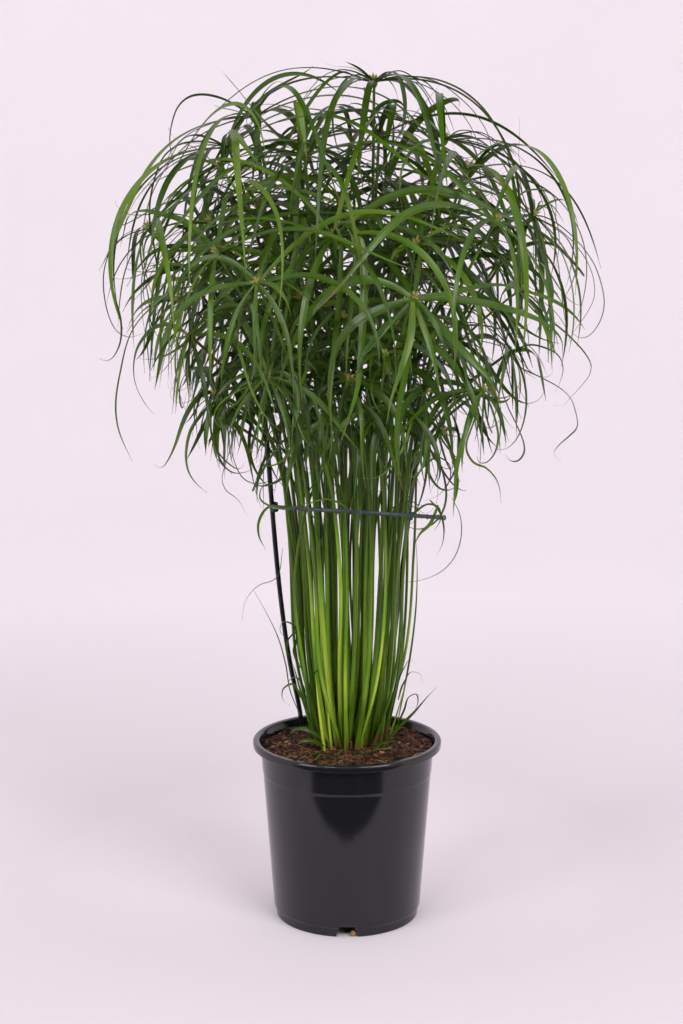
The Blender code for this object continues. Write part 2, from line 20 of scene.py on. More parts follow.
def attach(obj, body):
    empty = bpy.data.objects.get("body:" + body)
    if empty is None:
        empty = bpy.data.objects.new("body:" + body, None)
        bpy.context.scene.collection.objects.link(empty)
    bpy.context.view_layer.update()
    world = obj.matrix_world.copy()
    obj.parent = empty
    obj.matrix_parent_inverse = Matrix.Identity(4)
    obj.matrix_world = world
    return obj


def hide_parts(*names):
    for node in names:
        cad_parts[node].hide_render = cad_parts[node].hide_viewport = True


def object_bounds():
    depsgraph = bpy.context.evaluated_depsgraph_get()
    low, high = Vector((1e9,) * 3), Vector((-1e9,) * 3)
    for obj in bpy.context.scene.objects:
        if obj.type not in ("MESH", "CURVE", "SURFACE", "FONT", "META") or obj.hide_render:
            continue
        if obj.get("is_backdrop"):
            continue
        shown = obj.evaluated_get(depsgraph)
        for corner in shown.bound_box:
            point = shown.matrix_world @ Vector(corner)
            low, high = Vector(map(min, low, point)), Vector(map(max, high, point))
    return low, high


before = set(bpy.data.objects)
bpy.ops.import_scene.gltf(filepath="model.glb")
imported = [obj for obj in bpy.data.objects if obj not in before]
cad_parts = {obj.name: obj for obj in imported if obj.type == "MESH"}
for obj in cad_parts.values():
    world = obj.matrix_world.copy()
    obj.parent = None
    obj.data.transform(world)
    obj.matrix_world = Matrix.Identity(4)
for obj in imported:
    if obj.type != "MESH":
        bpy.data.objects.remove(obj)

cad_low, cad_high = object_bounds()
print(len(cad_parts), "solids fill, in mm:",
      [round(1000 * side) for side in cad_high - cad_low])

# %% [markdown]
# ## Where the picture is taken from
# The photograph shows the pot's rim as an ellipse about a quarter as tall as it is wide, so
# the camera stands well above the pot and looks down on it. Its distance and lens could be
# guessed by eye. Here they come from the pot: with its lip 24 cm across, a lens of 63 mm on
# a sensor 36 mm tall, 2.2 m away, gives every ellipse of the pot its shape.

# %% Camera
CAMERA_PLACE = Vector((-0.0071, -2.2, 0.8931))
CAMERA_PITCH = math.radians(9.60)
LENS_MM = 62.95
SENSOR_MM = 36.0
PICTURE = (683, 1024)


def placed(name, data):
    """A new object that shows some data, put into the scene."""
    made = bpy.data.objects.new(name, data)
    bpy.context.scene.collection.objects.link(made)
    return made


lens = bpy.data.cameras.new("camera")
lens.sensor_fit = "VERTICAL"
lens.sensor_height = SENSOR_MM
lens.lens = LENS_MM
camera = placed("camera", lens)
camera.location = CAMERA_PLACE
camera.rotation_euler = (math.pi / 2 - CAMERA_PITCH, 0, 0)
bpy.context.scene.camera = camera


def seen_at(across, down, depth):
    """The place with this y in metres that the camera sees at a pixel of the picture."""
    focal = LENS_MM / SENSOR_MM * PICTURE[1]
    ahead = Vector((0, math.cos(CAMERA_PITCH), -math.sin(CAMERA_PITCH)))
    up = Vector((0, math.sin(CAMERA_PITCH), math.cos(CAMERA_PITCH)))
    ray = ahead + up * (PICTURE[1] / 2 - down) / focal
    ray.x = (across - PICTURE[0] / 2) / focal
    return CAMERA_PLACE + ray * (depth - CAMERA_PLACE.y) / ray.y


print("The middle of the picture is at", seen_at(PICTURE[0] / 2, PICTURE[1] / 2, 0.0))

# %% [markdown]
# ## Paper and light
# The plant stood on pale pinkish paper under large soft lamps, with hardly a shadow. A floor
# and a wall would show the line where they meet. A bowl of paper, with a flat bottom and a
# wide curve up to its rim, shows no line from any side, and it throws light back on the
# leaves as the studio's paper did.

# %% Paper bowl
PAPER_RADIUS = 5.6
PAPER_CURVE = 3.0  # radius of the bend between the floor and the wall
PAPER_RIM = 5.5
PAPER_SIDES = 96
PAPER_STEPS = 17
# Painted light and shade: the paper is painted darker on the floor and paler up the cove and the
# wall, as the lamps lit the real paper.
FLOOR_COLOUR = (0.672, 0.612, 0.648)
COVE_COLOUR = (0.838, 0.786, 0.822)
WALL_COLOUR = (0.885, 0.842, 0.868)
COVE_FROM = 0.50  # distances from the pot between which the floor turns paler
COVE_TO = 1.90
WALL_FROM = 0.30  # heights between which the cove's tone turns into the wall's
WALL_TO = 1.60
PAINTED_LIGHT_COLOUR = (0.840, 0.780, 0.812)  # painted light: the paper round the pot is painted paler, to lift the shade that the pot and the plant cast
PAINTED_LIGHT_PLACE = (0.0, 0.20, 0.0)
PAINTED_LIGHT_REACH = 0.42
CLOUD_COLOUR = (0.79, 0.74, 0.77)
CLOUD_SHARE = 0.25
PAPER_DEPTH = 0.0004  # the paper lies this much under the pot's foot
ON_AXIS = 1e-6  # a point of a turned outline this near the axis is one corner, not a ring


def turned(profile, sides, closed=False):
    """A bmesh of (radius, height) points turned round the Z axis, ring by ring.

    Blender's own spin does this too, but lists the faces in a new order on each run.
    """
    bm, rings = bmesh.new(), []
    turns = [math.tau * side / sides for side in range(sides)]
    for radius, height in profile:
        if radius < ON_AXIS:
            rings.append([bm.verts.new((0, 0, height))] * sides)
            continue
        rings.append([
            bm.verts.new((radius * math.cos(turn), radius * math.sin(turn), height))
            for turn in turns
        ])
    for ring, following in zip(rings, rings[1:] + rings[:1] if closed else rings[1:]):
        for side in range(sides):
            corners = ring[side - 1], following[side - 1], following[side], ring[side]
            bm.faces.new(dict.fromkeys(corners))
    bmesh.ops.recalc_face_normals(bm, faces=bm.faces[:])
    return bm


def smoothed(mesh, sharp):
    """Shades a mesh smooth but for the edges that bend by more than an angle."""
    mesh.shade_smooth()
    mesh.set_sharp_from_angle(angle=math.radians(sharp))
    return mesh


def finished_mesh(name, bm, sharp=35):
    """Turns a bmesh into a mesh with smooth shading."""
    mesh = bpy.data.meshes.new(name)
    bm.to_mesh(mesh)
    bm.free()
    return smoothed(mesh, sharp)


bend = [
    (PAPER_RADIUS - PAPER_CURVE * (1 - math.sin(turn)), PAPER_CURVE * (1 - math.cos(turn)))
    for turn in np.linspace(0, math.pi / 2, PAPER_STEPS)
]
paper_profile = [(0.0, -PAPER_DEPTH)]
paper_profile += [(radius, height - PAPER_DEPTH) for radius, height in bend]
paper_profile.append((PAPER_RADIUS, PAPER_RIM))
paper_mesh = finished_mesh("paper", turned(paper_profile, PAPER_SIDES))
paper_mesh.flip_normals()
placed("paper", paper_mesh)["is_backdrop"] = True
print("The paper bowl is", 2 * PAPER_RADIUS, "m wide")

# %% [markdown]
# A finish in Blender is a small graph of nodes. Written out link by link it is long and hard
# to read. The helper below adds one node per call, and feeds each input with a number or
# with what another node gives, so that a finish reads as a few plain sentences.


# %% Helper for finishes
class Finish:
    """A material that is built node by node."""

    def __init__(self, name, **constants):
        self.material = bpy.data.materials.new(name)
        self.material.use_nodes = True
        self.nodes = self.material.node_tree.nodes
        self.shader = self.nodes["Principled BSDF"]
        for key, value in constants.items():
            self.feed(self.shader.inputs[key.replace("_", " ")], value)

    def feed(self, socket, value):
        """Gives a socket a value, or links it to what another node gives."""
        if isinstance(value, bpy.types.NodeSocket):
            self.material.node_tree.links.new(value, socket)
        else:
            socket.default_value = (*value, 1) if socket.type == "RGBA" else value

    def node(self, kind, inputs, output=0, **settings):
        """Adds a node and returns one of its outputs."""
        made = self.nodes.new("ShaderNode" + kind)
        for key, value in settings.items():
            setattr(made, key, value)
        for key, value in inputs.items():
            self.feed(made.inputs[key], value)
        return made.outputs[output]

    def value(self, name):
        """A number that the mesh stores for each of its points."""
        return self.node("Attribute", {}, "Fac", attribute_name=name)

    def place(self):
        return self.node("TexCoord", {}, "Object")

    def calculate(self, operation, first, second=0.0):
        return self.node("Math", {0: first, 1: second}, operation=operation)

    def times(self, first, second):
        return self.calculate("MULTIPLY", first, second)

    def plus(self, first, second):
        return self.calculate("ADD", first, second)

    def spread(self, value, low, high, to_low=0.0, to_high=1.0):
        """Maps the range from low to high onto another, and cuts off what lies outside."""
        ends = {"Value": value, "From Min": low, "From Max": high}
        return self.node("MapRange", {**ends, "To Min": to_low, "To Max": to_high})

    def mix(self, share, first, second):
        return self.node("Mix", {0: share, 6: first, 7: second}, 2, data_type="RGBA")

    def grain(self, place, scale, detail=3.0):
        return self.node("TexNoise", {"Vector": place, "Scale": scale, "Detail": detail})

    def squeeze(self, place, scale):
        """Scales a place by a different amount along each axis."""
        return self.node("Mapping", {"Vector": place, "Scale": scale})

    def join(self, x, y, z):
        return self.node("CombineXYZ", {0: x, 1: y, 2: z})

    def colour(self, value):
        self.feed(self.shader.inputs["Base Color"], value)

    def roughness(self, value):
        self.feed(self.shader.inputs["Roughness"], value)

    def bump(self, height, depth, strength=1.0):
        """Raises the surface by up to a depth in metres where height is 1."""
        inputs = {"Height": height, "Distance": depth, "Strength": strength}
        self.feed(self.shader.inputs["Normal"], self.node("Bump", inputs))


card = Finish("paper_card", Roughness=0.9)
paper_height = card.node("SeparateXYZ", {"Vector": card.place()}, "Z")
paper_far = card.node("VectorMath", {0: card.place()}, 1, operation="LENGTH")
# Painted light: a paler patch of paper round the pot lifts the shade that the pot and the plant
# cast there.
from_painted_light = card.node("VectorMath", {0: card.place(), 1: PAINTED_LIGHT_PLACE}, 1, operation="DISTANCE")
painted_light_round_pot = card.mix(card.spread(from_painted_light, 0.0, PAINTED_LIGHT_REACH), PAINTED_LIGHT_COLOUR, FLOOR_COLOUR)
# Painted light and shade: darker on the floor, paler up the cove and the wall.
cove = card.mix(card.spread(paper_far, COVE_FROM, COVE_TO), painted_light_round_pot, COVE_COLOUR)
paper_tone = card.mix(card.spread(paper_height, WALL_FROM, WALL_TO), cove, WALL_COLOUR)
paper_cloud = card.spread(card.grain(card.place(), 1.3), 0.3, 0.7, 0.0, CLOUD_SHARE)
card.colour(card.mix(paper_cloud, paper_tone, CLOUD_COLOUR))
paper_mesh.materials.append(card.material)
print("The paper has", len(card.nodes), "nodes")

# %% [markdown]
# Two large soft lamps stood in front, one on each side, so the pot shows a light band at
# each edge, and the room behind them was dark. Two smaller lamps, higher up and nearer the
# middle, put the light on the blades that face the front. The darkness matters too: it is
# what leaves the gaps between the stems deep green, and what the pot's dark middle mirrors.
# A dark curtain behind the lamps, a flag over the crown and a black card on the floor do it
# here. The camera sees none of them and none casts a shadow: only light that has bounced off
# the plant or the paper finds them.

# %% Lamps, curtain and card
LAMPS = (  # name, place, size across and up, watts
    ("lamp_right", (2.3, -2.6, 2.0), (1.5, 1.9), 66),
    ("lamp_left", (-2.5, -2.2, 1.6), (1.3, 1.9), 46),
    ("lamp_front_right", (1.35, -3.2, 2.8), (0.8, 0.6), 26),
    ("lamp_front_left", (-1.35, -3.2, 2.8), (0.8, 0.6), 20),
)
LAMP_AIM = Vector((0, 0, 0.62))
SKY_COLOUR = (0.94, 0.91, 0.95, 1)
SKY_STRENGTH = 1.12
CURTAIN_RADIUS = 3.9
CURTAIN_HEIGHT = 3.0
CURTAIN_REACH = math.radians(68)  # to each side of the front
CURTAIN_STEPS = 25
CARD = ((-0.86, 0.86), (-2.6, -0.335))  # its reach across and in depth, in metres
CARD_HEIGHT = 0.001
FLAG_HEIGHT = 1.55
FLAG_SIZE = 0.74
BLACK = (0.004, 0.004, 0.005)

for name, place, (across, tall), watts in LAMPS:
    lamp = bpy.data.lights.new(name, "AREA")
    lamp.shape = "RECTANGLE"
    lamp.size = across
    lamp.size_y = tall
    lamp.energy = watts
    lamp_object = placed(name, lamp)
    lamp_object.location = place
    lamp_object.rotation_euler = (LAMP_AIM - Vector(place)).to_track_quat("-Z", "Y").to_euler()
    lamp_object.visible_camera = False

sky = bpy.data.worlds.new("sky")
sky.use_nodes = True
glow = sky.node_tree.nodes["Background"].inputs
glow["Color"].default_value, glow["Strength"].default_value = SKY_COLOUR, SKY_STRENGTH
bpy.context.scene.world = sky
bpy.context.scene.view_settings.view_transform = "Standard"


def hidden_sheet(name, corners, *unseen):
    """A black sheet that the camera doesn't see and that casts no shadow."""
    bm = bmesh.new()
    rows = [[bm.verts.new(corner) for corner in row] for row in corners]
    for near, far in zip(rows, rows[1:]):
        for a, b, c, d in zip(near, near[1:], far[1:], far):
            bm.faces.new((a, b, c, d))
    sheet = placed(name, finished_mesh(name, bm))
    sheet.data.materials.append(Finish(name, Base_Color=BLACK, Roughness=1.0).material)
    for kind in ("camera", "shadow", "transmission", *unseen):
        setattr(sheet, f"visible_{kind}", False)
    sheet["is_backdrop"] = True


turns = np.linspace(-CURTAIN_REACH, CURTAIN_REACH, CURTAIN_STEPS)
over = (-FLAG_SIZE / 2, FLAG_SIZE / 2)
hidden_sheet("dark_card", [[(x, y, CARD_HEIGHT) for x in CARD[0]] for y in CARD[1]], "diffuse")
hidden_sheet("dark_curtain", [
    [(CURTAIN_RADIUS * math.sin(turn), -CURTAIN_RADIUS * math.cos(turn), height) for turn in turns]
    for height in (0.0, CURTAIN_HEIGHT)
])
hidden_sheet("dark_flag", [[(x, y, FLAG_HEIGHT) for x in over] for y in over])
print(len(LAMPS), "lamps and three dark sheets stand round the plant")

# %% [markdown]
# ## The pot
# The pot is one thin plastic moulding: a rolled lip, a collar that widens up to it, a
# tapered wall, and a foot ring with notches that let water out. A cylinder with loop cuts
# could give that. A profile that is turned round the axis is closer to how the real mould is
# made, and each corner can have its own rounding, which is what catches the light.
# The sizes below are the solid's own, but for the step under the collar, which is softer.

# %% Pot profile
POT_HEIGHT = 0.2296
LIP_RADIUS = 0.1200
LIP_DEPTH = 0.0088
LIP_SKIN = 0.0022
COLLAR_RADIUS = 0.1104
COLLAR_FOOT = 0.0405
COLLAR_STEP = 0.0008
WALL_TOP_RADIUS = 0.1068
WALL_FOOT_RADIUS = 0.0940
WALL_SKIN = 0.0018
FOOT_RADIUS = 0.0912
FOOT_HEIGHT = 0.0100
FLOOR_HEIGHT = 0.0145
POT_SIDES = 160
ROUNDING_STEPS = 5


def inner_radius(height):
    """Radius of the pot's inside at a height between its floor and its collar."""
    share = (height - FOOT_HEIGHT) / (POT_HEIGHT - COLLAR_FOOT - FOOT_HEIGHT)
    return WALL_FOOT_RADIUS + share * (WALL_TOP_RADIUS - WALL_FOOT_RADIUS) - WALL_SKIN


def pot_corners():
    """(radius, height, rounding) from under the floor up the outside and down the inside."""
    collar_foot = POT_HEIGHT - COLLAR_FOOT
    lip_foot = POT_HEIGHT - LIP_DEPTH
    lip_under = POT_HEIGHT - 2 * LIP_SKIN
    inside_collar = COLLAR_RADIUS - WALL_SKIN
    return [
        (0.0, FLOOR_HEIGHT, 0.0),
        (FOOT_RADIUS - WALL_SKIN, FLOOR_HEIGHT, 0.0008),
        (FOOT_RADIUS - WALL_SKIN, 0.0, 0.0004),
        (FOOT_RADIUS, 0.0, 0.0006),
        (FOOT_RADIUS + 0.0006, FOOT_HEIGHT, 0.0008),
        (WALL_FOOT_RADIUS, FOOT_HEIGHT + 0.0025, 0.0020),
        (WALL_TOP_RADIUS + 0.0001, collar_foot - 0.0032, 0.0300),
        (WALL_TOP_RADIUS + COLLAR_STEP, collar_foot, 0.0004),
        (COLLAR_RADIUS, lip_under, 0.0012),
        (LIP_RADIUS - LIP_SKIN, lip_under, 0.0010),
        (LIP_RADIUS - LIP_SKIN, lip_foot, 0.0004),
        (LIP_RADIUS - 0.0004, lip_foot, 0.0014),
        (LIP_RADIUS, POT_HEIGHT, 0.0034),
        (inside_collar + 0.0034, POT_HEIGHT - 0.0002, 0.0030),
        (inside_collar, POT_HEIGHT - 0.0090, 0.0040),
        (WALL_TOP_RADIUS + COLLAR_STEP - WALL_SKIN, collar_foot, 0.0007),
        (inner_radius(collar_foot), collar_foot - 0.0070, 0.0060),
        (inner_radius(FLOOR_HEIGHT + WALL_SKIN), FLOOR_HEIGHT + WALL_SKIN, 0.0020),
        (0.0, FLOOR_HEIGHT + WALL_SKIN, 0.0),
    ]


def rounded(corners):
    """Replaces every corner between the first and the last by a small curve."""
    outline = [tuple(corners[0][:2])]
    for before, corner, after in zip(corners, corners[1:], corners[2:]):
        here = Vector(corner[:2])
        back, ahead = Vector(before[:2]) - here, Vector(after[:2]) - here
        room = 0.45 * min(back.length, ahead.length)
        reach = min(corner[2] / math.tan(back.angle(ahead) / 2), room)
        start, end = here + back.normalized() * reach, here + ahead.normalized() * reach
        for step in range(ROUNDING_STEPS + 1):
            share = step / ROUNDING_STEPS
            point = start.lerp(here, share).lerp(here.lerp(end, share), share)
            outline.append(tuple(point))
    return outline + [tuple(corners[-1][:2])]


pot_bm = turned(rounded(pot_corners()), POT_SIDES)
print("The turned pot has", len(pot_bm.faces), "faces")

# %% [markdown]
# Four notches in the foot and four drain holes in the raised floor are cut out with
# Booleans. The cutters are thrown away once the cut mesh has been read back, because only
# the moulding belongs to the plant.

# %% Notches and drain holes
NOTCH_HEIGHT = 0.0138
NOTCH_WIDTH = 0.0280
NOTCH_TOP_WIDTH = 0.0186
DRAIN_RADIUS = 0.0060
DRAIN_CIRCLE = 0.0620
CUT_LOW = -0.010  # how far down the cutters reach


def notch_bar(angle):
    """A bar of the notch's shape that passes right through the foot."""
    spread = (NOTCH_WIDTH - NOTCH_TOP_WIDTH) * (NOTCH_HEIGHT - CUT_LOW) / NOTCH_HEIGHT
    wide, narrow = (NOTCH_TOP_WIDTH + spread) / 2, NOTCH_TOP_WIDTH / 2
    outline = [
        (-wide, CUT_LOW), (wide, CUT_LOW), (narrow, NOTCH_HEIGHT), (-narrow, NOTCH_HEIGHT),
    ]
    bm = bmesh.new()
    face = bm.faces.new([bm.verts.new((-LIP_RADIUS, y, z)) for y, z in outline])
    swept = bmesh.ops.extrude_face_region(bm, geom=[face])["geom"]
    moved = [v for v in swept if isinstance(v, bmesh.types.BMVert)]
    bmesh.ops.translate(bm, verts=moved, vec=(2 * LIP_RADIUS, 0, 0))
    turn = Matrix.Rotation(angle, 3, "Z")
    bmesh.ops.rotate(bm, verts=bm.verts[:], cent=(0, 0, 0), matrix=turn)
    bmesh.ops.recalc_face_normals(bm, faces=bm.faces[:])
    return bm


def drain_rod(angle):
    """A short upright rod at one drain hole."""
    bm = bmesh.new()
    middle = (math.cos(angle) * DRAIN_CIRCLE, math.sin(angle) * DRAIN_CIRCLE, FLOOR_HEIGHT)
    bmesh.ops.create_cone(
        bm, cap_ends=True, segments=32, radius1=DRAIN_RADIUS, radius2=DRAIN_RADIUS,
        depth=0.02, matrix=Matrix.Translation(middle),
    )
    return bm


def cut(mesh, cutters):
    """The mesh that is left when the cutters are taken out of it."""
    whole = placed("whole", mesh)
    tools = [placed("tool", finished_mesh("tool", bm)) for bm in cutters]
    for tool in tools:
        modifier = whole.modifiers.new("cut", "BOOLEAN")
        modifier.operation = "DIFFERENCE"
        modifier.solver = "EXACT"
        modifier.object = tool
    ready = whole.evaluated_get(bpy.context.evaluated_depsgraph_get())
    result = bpy.data.meshes.new_from_object(ready)
    for obj in [whole, *tools]:
        bpy.data.objects.remove(obj)
    return result


pot_cutters = [notch_bar(0.0), notch_bar(math.pi / 2)]
pot_cutters += [drain_rod(math.radians(45 + 90 * step)) for step in range(4)]
pot_mesh = smoothed(cut(finished_mesh("pot_whole", pot_bm), pot_cutters), 32)
print("The cut pot has", len(pot_mesh.polygons), "faces")

# %% [markdown]
# The plastic is black and half glossy. The real one shows faint rings left by the mould,
# a slight orange peel, and dull rubbed patches low on the wall. Noise that is squeezed flat
# along the height gives rings, and finer noise that is the same all ways gives the peel.
# The rubbed patches only change how rough the plastic is.


# %% Pot plastic
def pot_plastic():
    plastic = Finish("pot_plastic", Specular_IOR_Level=0.5)
    place = plastic.place()
    rings = plastic.grain(plastic.squeeze(place, (6, 6, 700)), 1.0, 2.0)
    peel = plastic.grain(place, 700.0, 2.0)
    rubbed = plastic.spread(plastic.grain(place, 16.0, 5.0), 0.5, 0.8)
    dust = plastic.spread(plastic.grain(plastic.squeeze(place, (60, 60, 14)), 1.0, 5.0), 0.55, 0.8)
    specks = plastic.spread(plastic.grain(place, 330.0, 1.0), 0.80, 0.84)
    dusty = plastic.times(dust, 0.25)
    clean = plastic.mix(dusty, (0.0075, 0.0075, 0.0095), (0.026, 0.025, 0.028))
    plastic.colour(plastic.mix(plastic.times(specks, 0.5), clean, (0.10, 0.095, 0.09)))
    dull = plastic.times(rubbed, 0.07)
    plastic.roughness(plastic.plus(dull, plastic.spread(rings, 0.3, 0.7, 0.085, 0.125)))
    relief = plastic.plus(plastic.times(rings, 0.5), peel)
    plastic.bump(relief, 0.00003, 0.4)
    return plastic.material


def show(name, mesh, finish, slot, *nodes):
    """Puts a mesh into the scene in one finish, in place of the solids that it stands for."""
    mesh.materials.clear()
    mesh.materials.append(finish)
    piece = placed(name, mesh)
    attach(piece, "root")
    if nodes:
        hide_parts(*nodes)


show("pot_moulding", pot_mesh, pot_plastic(), "pot_plastic", "pot")
print("The pot is", round(1000 * POT_HEIGHT), "mm tall")

# %% [markdown]
# ## The soil
# The pot is filled to just under its lip with brown peat and coir, lumpy and full of short
# fibres. A flat disc with a bump pattern looks painted from close by, so the surface is a
# fine disc whose points are really raised by noise of three sizes. It follows the broad
# lumps of its solid, and it runs down inside the wall so that the soil is one closed body.

# %% Soil body
SOIL_LEVEL = 0.2195
SOIL_LUMP = 0.0022
SOIL_RINGS = 84
SOIL_SIDES = 240
SOIL_ROUGH = ((22.0, 0.0036), (70.0, 0.0034), (190.0, 0.0019))  # lumps a metre, height
SOIL_RIM = COLLAR_RADIUS - WALL_SKIN - 0.0008
SOIL_CALM = 0.006  # how near the wall the small lumps fade
GAP = 0.0003


def soil_height(x, y):
    """Height of the soil's surface, which is lumpy and banks up to the right."""
    lumps = math.sin(70 * x + 1.3) * math.cos(83 * y - 0.4)
    lumps += 0.6 * math.sin(141 * x - 97 * y)
    return SOIL_LEVEL + SOIL_LUMP * (0.55 * lumps + 8.0 * x)


def rough_height(x, y):
    """The soil's height with its small lumps, which fade out at the wall."""
    fade = min(1.0, (SOIL_RIM - math.hypot(x, y)) / SOIL_CALM)
    small = sum(
        height * noise.noise(Vector((x * often, y * often, often)))
        for often, height in SOIL_ROUGH
    )
    return soil_height(x, y) + small * max(0.25, fade)


floor = FLOOR_HEIGHT + WALL_SKIN + GAP
collar_foot = POT_HEIGHT - COLLAR_FOOT
soil_side = [
    (0.0, floor),
    (inner_radius(floor) - GAP, floor),
    (inner_radius(collar_foot) - GAP, collar_foot - 0.0070),
    (SOIL_RIM, SOIL_LEVEL - 0.0050),
]
soil_top = [(SOIL_RIM * k / SOIL_RINGS, SOIL_LEVEL) for k in range(SOIL_RINGS, -1, -1)]
soil_bm = turned(soil_side + soil_top, SOIL_SIDES)
for vert in soil_bm.verts:
    if vert.co.z > SOIL_LEVEL - 1e-5:
        vert.co.z = rough_height(vert.co.x, vert.co.y)
soil_mesh = finished_mesh("soil_bed", soil_bm, 70)
print("The soil has", len(soil_mesh.polygons), "faces")

# %% [markdown]
# The soil's finish mixes a dark brown, a red brown and a pale straw with noise of several sizes.
# One more noise paints near black spots of shade, as in the hollows between crumbs. It is fully
# rough, and a strong fine bump stands for crumbs under a millimetre.


# %% Soil finish
def potting_soil():
    earth = Finish("potting_soil", Specular_IOR_Level=0.2)
    place = earth.place()
    clods = earth.spread(earth.grain(place, 60.0, 6.0), 0.38, 0.62)
    crumbs = earth.grain(place, 380.0, 5.0)
    # Painted shade: near black spots stand for the shade in the hollows between crumbs.
    painted_hollow_shade = earth.spread(earth.grain(place, 170.0, 3.0), 0.40, 0.52, 0.95, 0.0)
    straw = earth.spread(earth.grain(place, 300.0, 2.0), 0.62, 0.70)
    brown = earth.mix(clods, (0.010, 0.0052, 0.0036), (0.090, 0.036, 0.020))
    flecked = earth.mix(earth.times(straw, 0.8), brown, (0.36, 0.18, 0.09))
    earth.colour(earth.mix(painted_hollow_shade, flecked, (0.0035, 0.0020, 0.0014)))
    earth.roughness(earth.spread(crumbs, 0.3, 0.7, 0.75, 0.98))
    earth.bump(crumbs, 0.0022, 1.0)
    return earth.material


soil_finish = potting_soil()
show("soil_bed", soil_mesh, soil_finish, "potting_soil", "soil")
print("The soil's finish has", len(soil_finish.node_tree.nodes), "nodes")

# %% [markdown]
# Loose crumbs and bits of bark lie on the soil. Each is a small ball of twenty faces, cut
# finer once, squashed, turned and dented by chance. All of them are worked out in one go as
# arrays of numbers and joined in one mesh, because hundreds of separate objects would be
# slow and the export leaves instances out.

# %% Crumbs
CRUMBS = 1500
CRUMB_SIZE = (0.0007, 0.0042)  # radius
CRUMB_REACH = 0.985  # how far out they lie, over the soil's radius
CRUMB_SQUASH = ((0.6, 0.5, 0.35), (1.5, 1.0, 0.8))
CRUMB_DENT = (0.66, 1.22)
CRUMB_SINK = 0.25  # share of its radius that a crumb sits above the soil's height


def store(mesh, name, values):
    """Keeps one number for each point of a mesh, for its finish to read."""
    attribute = mesh.attributes.new(name, "FLOAT", "POINT")
    attribute.data.foreach_set("value", np.asarray(values, dtype=np.float32))


def many_crumbs(count, seed, sizes):
    """One mesh of dented lumps that lie on the soil."""
    ball = bmesh.new()
    bmesh.ops.create_icosphere(ball, subdivisions=2, radius=1.0)
    points = np.array([v.co for v in ball.verts])
    faces = np.array([[v.index for v in face.verts] for face in ball.faces])
    ball.free()
    dice = np.random.default_rng(seed)
    corners, sides, tints = [], [], []
    for number in range(count):
        turn = dice.uniform(0, math.tau)
        reach = SOIL_RIM * CRUMB_REACH * math.sqrt(dice.random())
        x, y = reach * math.cos(turn), reach * math.sin(turn)
        size = sizes[0] + (sizes[1] - sizes[0]) * dice.random() ** 3
        dented = points * dice.uniform(*CRUMB_SQUASH)
        dented = dented * dice.uniform(*CRUMB_DENT, (len(points), 1)) * size
        spin = Matrix.Rotation(dice.uniform(0, math.tau), 3, "Z")
        spin = spin @ Matrix.Rotation(dice.uniform(-0.6, 0.6), 3, "X")
        dented = dented @ np.array(spin).T
        reach = min(1.0, (SOIL_RIM - size * 1.2) / max(reach, 1e-6))
        x, y = x * reach, y * reach
        corners.append(dented + (x, y, rough_height(x, y) + size * CRUMB_SINK))
        sides.append(faces + number * len(points))
        tints.append(np.full(len(points), dice.random()))
    mesh = bpy.data.meshes.new("crumbs")
    mesh.from_pydata(np.concatenate(corners).tolist(), [], np.concatenate(sides).tolist())
    store(mesh, "tint", np.concatenate(tints))
    return smoothed(mesh, 50)


def crumb_finish():
    bark = Finish("bark_crumbs", Specular_IOR_Level=0.25)
    place, tint = bark.place(), bark.value("tint")
    grain = bark.grain(place, 700.0, 3.0)
    dark = bark.mix(
        bark.spread(tint, 0.0, 0.60), (0.0035, 0.0022, 0.0017), (0.045, 0.018, 0.010))
    brown = bark.mix(bark.spread(tint, 0.60, 0.95), dark, (0.21, 0.080, 0.035))
    pale = bark.mix(bark.spread(tint, 0.955, 0.965), brown, (0.36, 0.20, 0.085))
    bark.colour(bark.mix(bark.spread(grain, 0.35, 0.7, 0.0, 0.55), pale, (0.010, 0.005, 0.0035)))
    bark.roughness(bark.spread(grain, 0.3, 0.7, 0.65, 0.95))
    bark.bump(grain, 0.0007, 0.9)
    return bark.material


crumb_mesh = many_crumbs(CRUMBS, 5, CRUMB_SIZE)
bark_finish = crumb_finish()
show("soil_crumbs", crumb_mesh, bark_finish, "potting_soil")
print(CRUMBS, "crumbs have", len(crumb_mesh.polygons), "faces")

# %% [markdown]
# One bit of bark was washed out of the pot and lies in the notch at the front of its foot. It
# is a ball that was squeezed and dented in the same way, set down on the ground.

# %% Bit of bark in the notch
BIT_SIZE = (0.0036, 0.0030, 0.0040)  # radius across, in depth and up
BIT_PLACE = (0.0075, -0.0885, 0.0038)
BIT_DENT = (0.82, 1.0)
BIT_TINT = 0.97

bit = bmesh.new()
bmesh.ops.create_icosphere(bit, subdivisions=3, radius=1.0)
dice = random.Random(8)
for corner in bit.verts:
    dent = dice.uniform(*BIT_DENT)
    corner.co = [
        middle + way * size * dent for middle, way, size in zip(BIT_PLACE, corner.co, BIT_SIZE)
    ]
bit_mesh = finished_mesh("bark_bit", bit)
store(bit_mesh, "tint", [BIT_TINT] * len(bit_mesh.vertices))
show("bark_bit", bit_mesh, bark_finish, "potting_soil")
print("The bit of bark is", round(2000 * BIT_SIZE[2], 1), "mm tall")

# %% [markdown]
# ## Strands
# Stems, leaf blades, canes, fibres and tendrils are all long thin bodies that follow a line.
# A Blender curve with a bevel makes round ones, but not a folded leaf that twists. So one
# helper makes them all: it carries a small frame along the line, draws the outline of the
# piece in that frame at every station, and skins the outlines into a closed tube.
# Each point also keeps where it is along and across its strand, for the finishes to read,
# and a tidy map on which every strand is one straight strip.


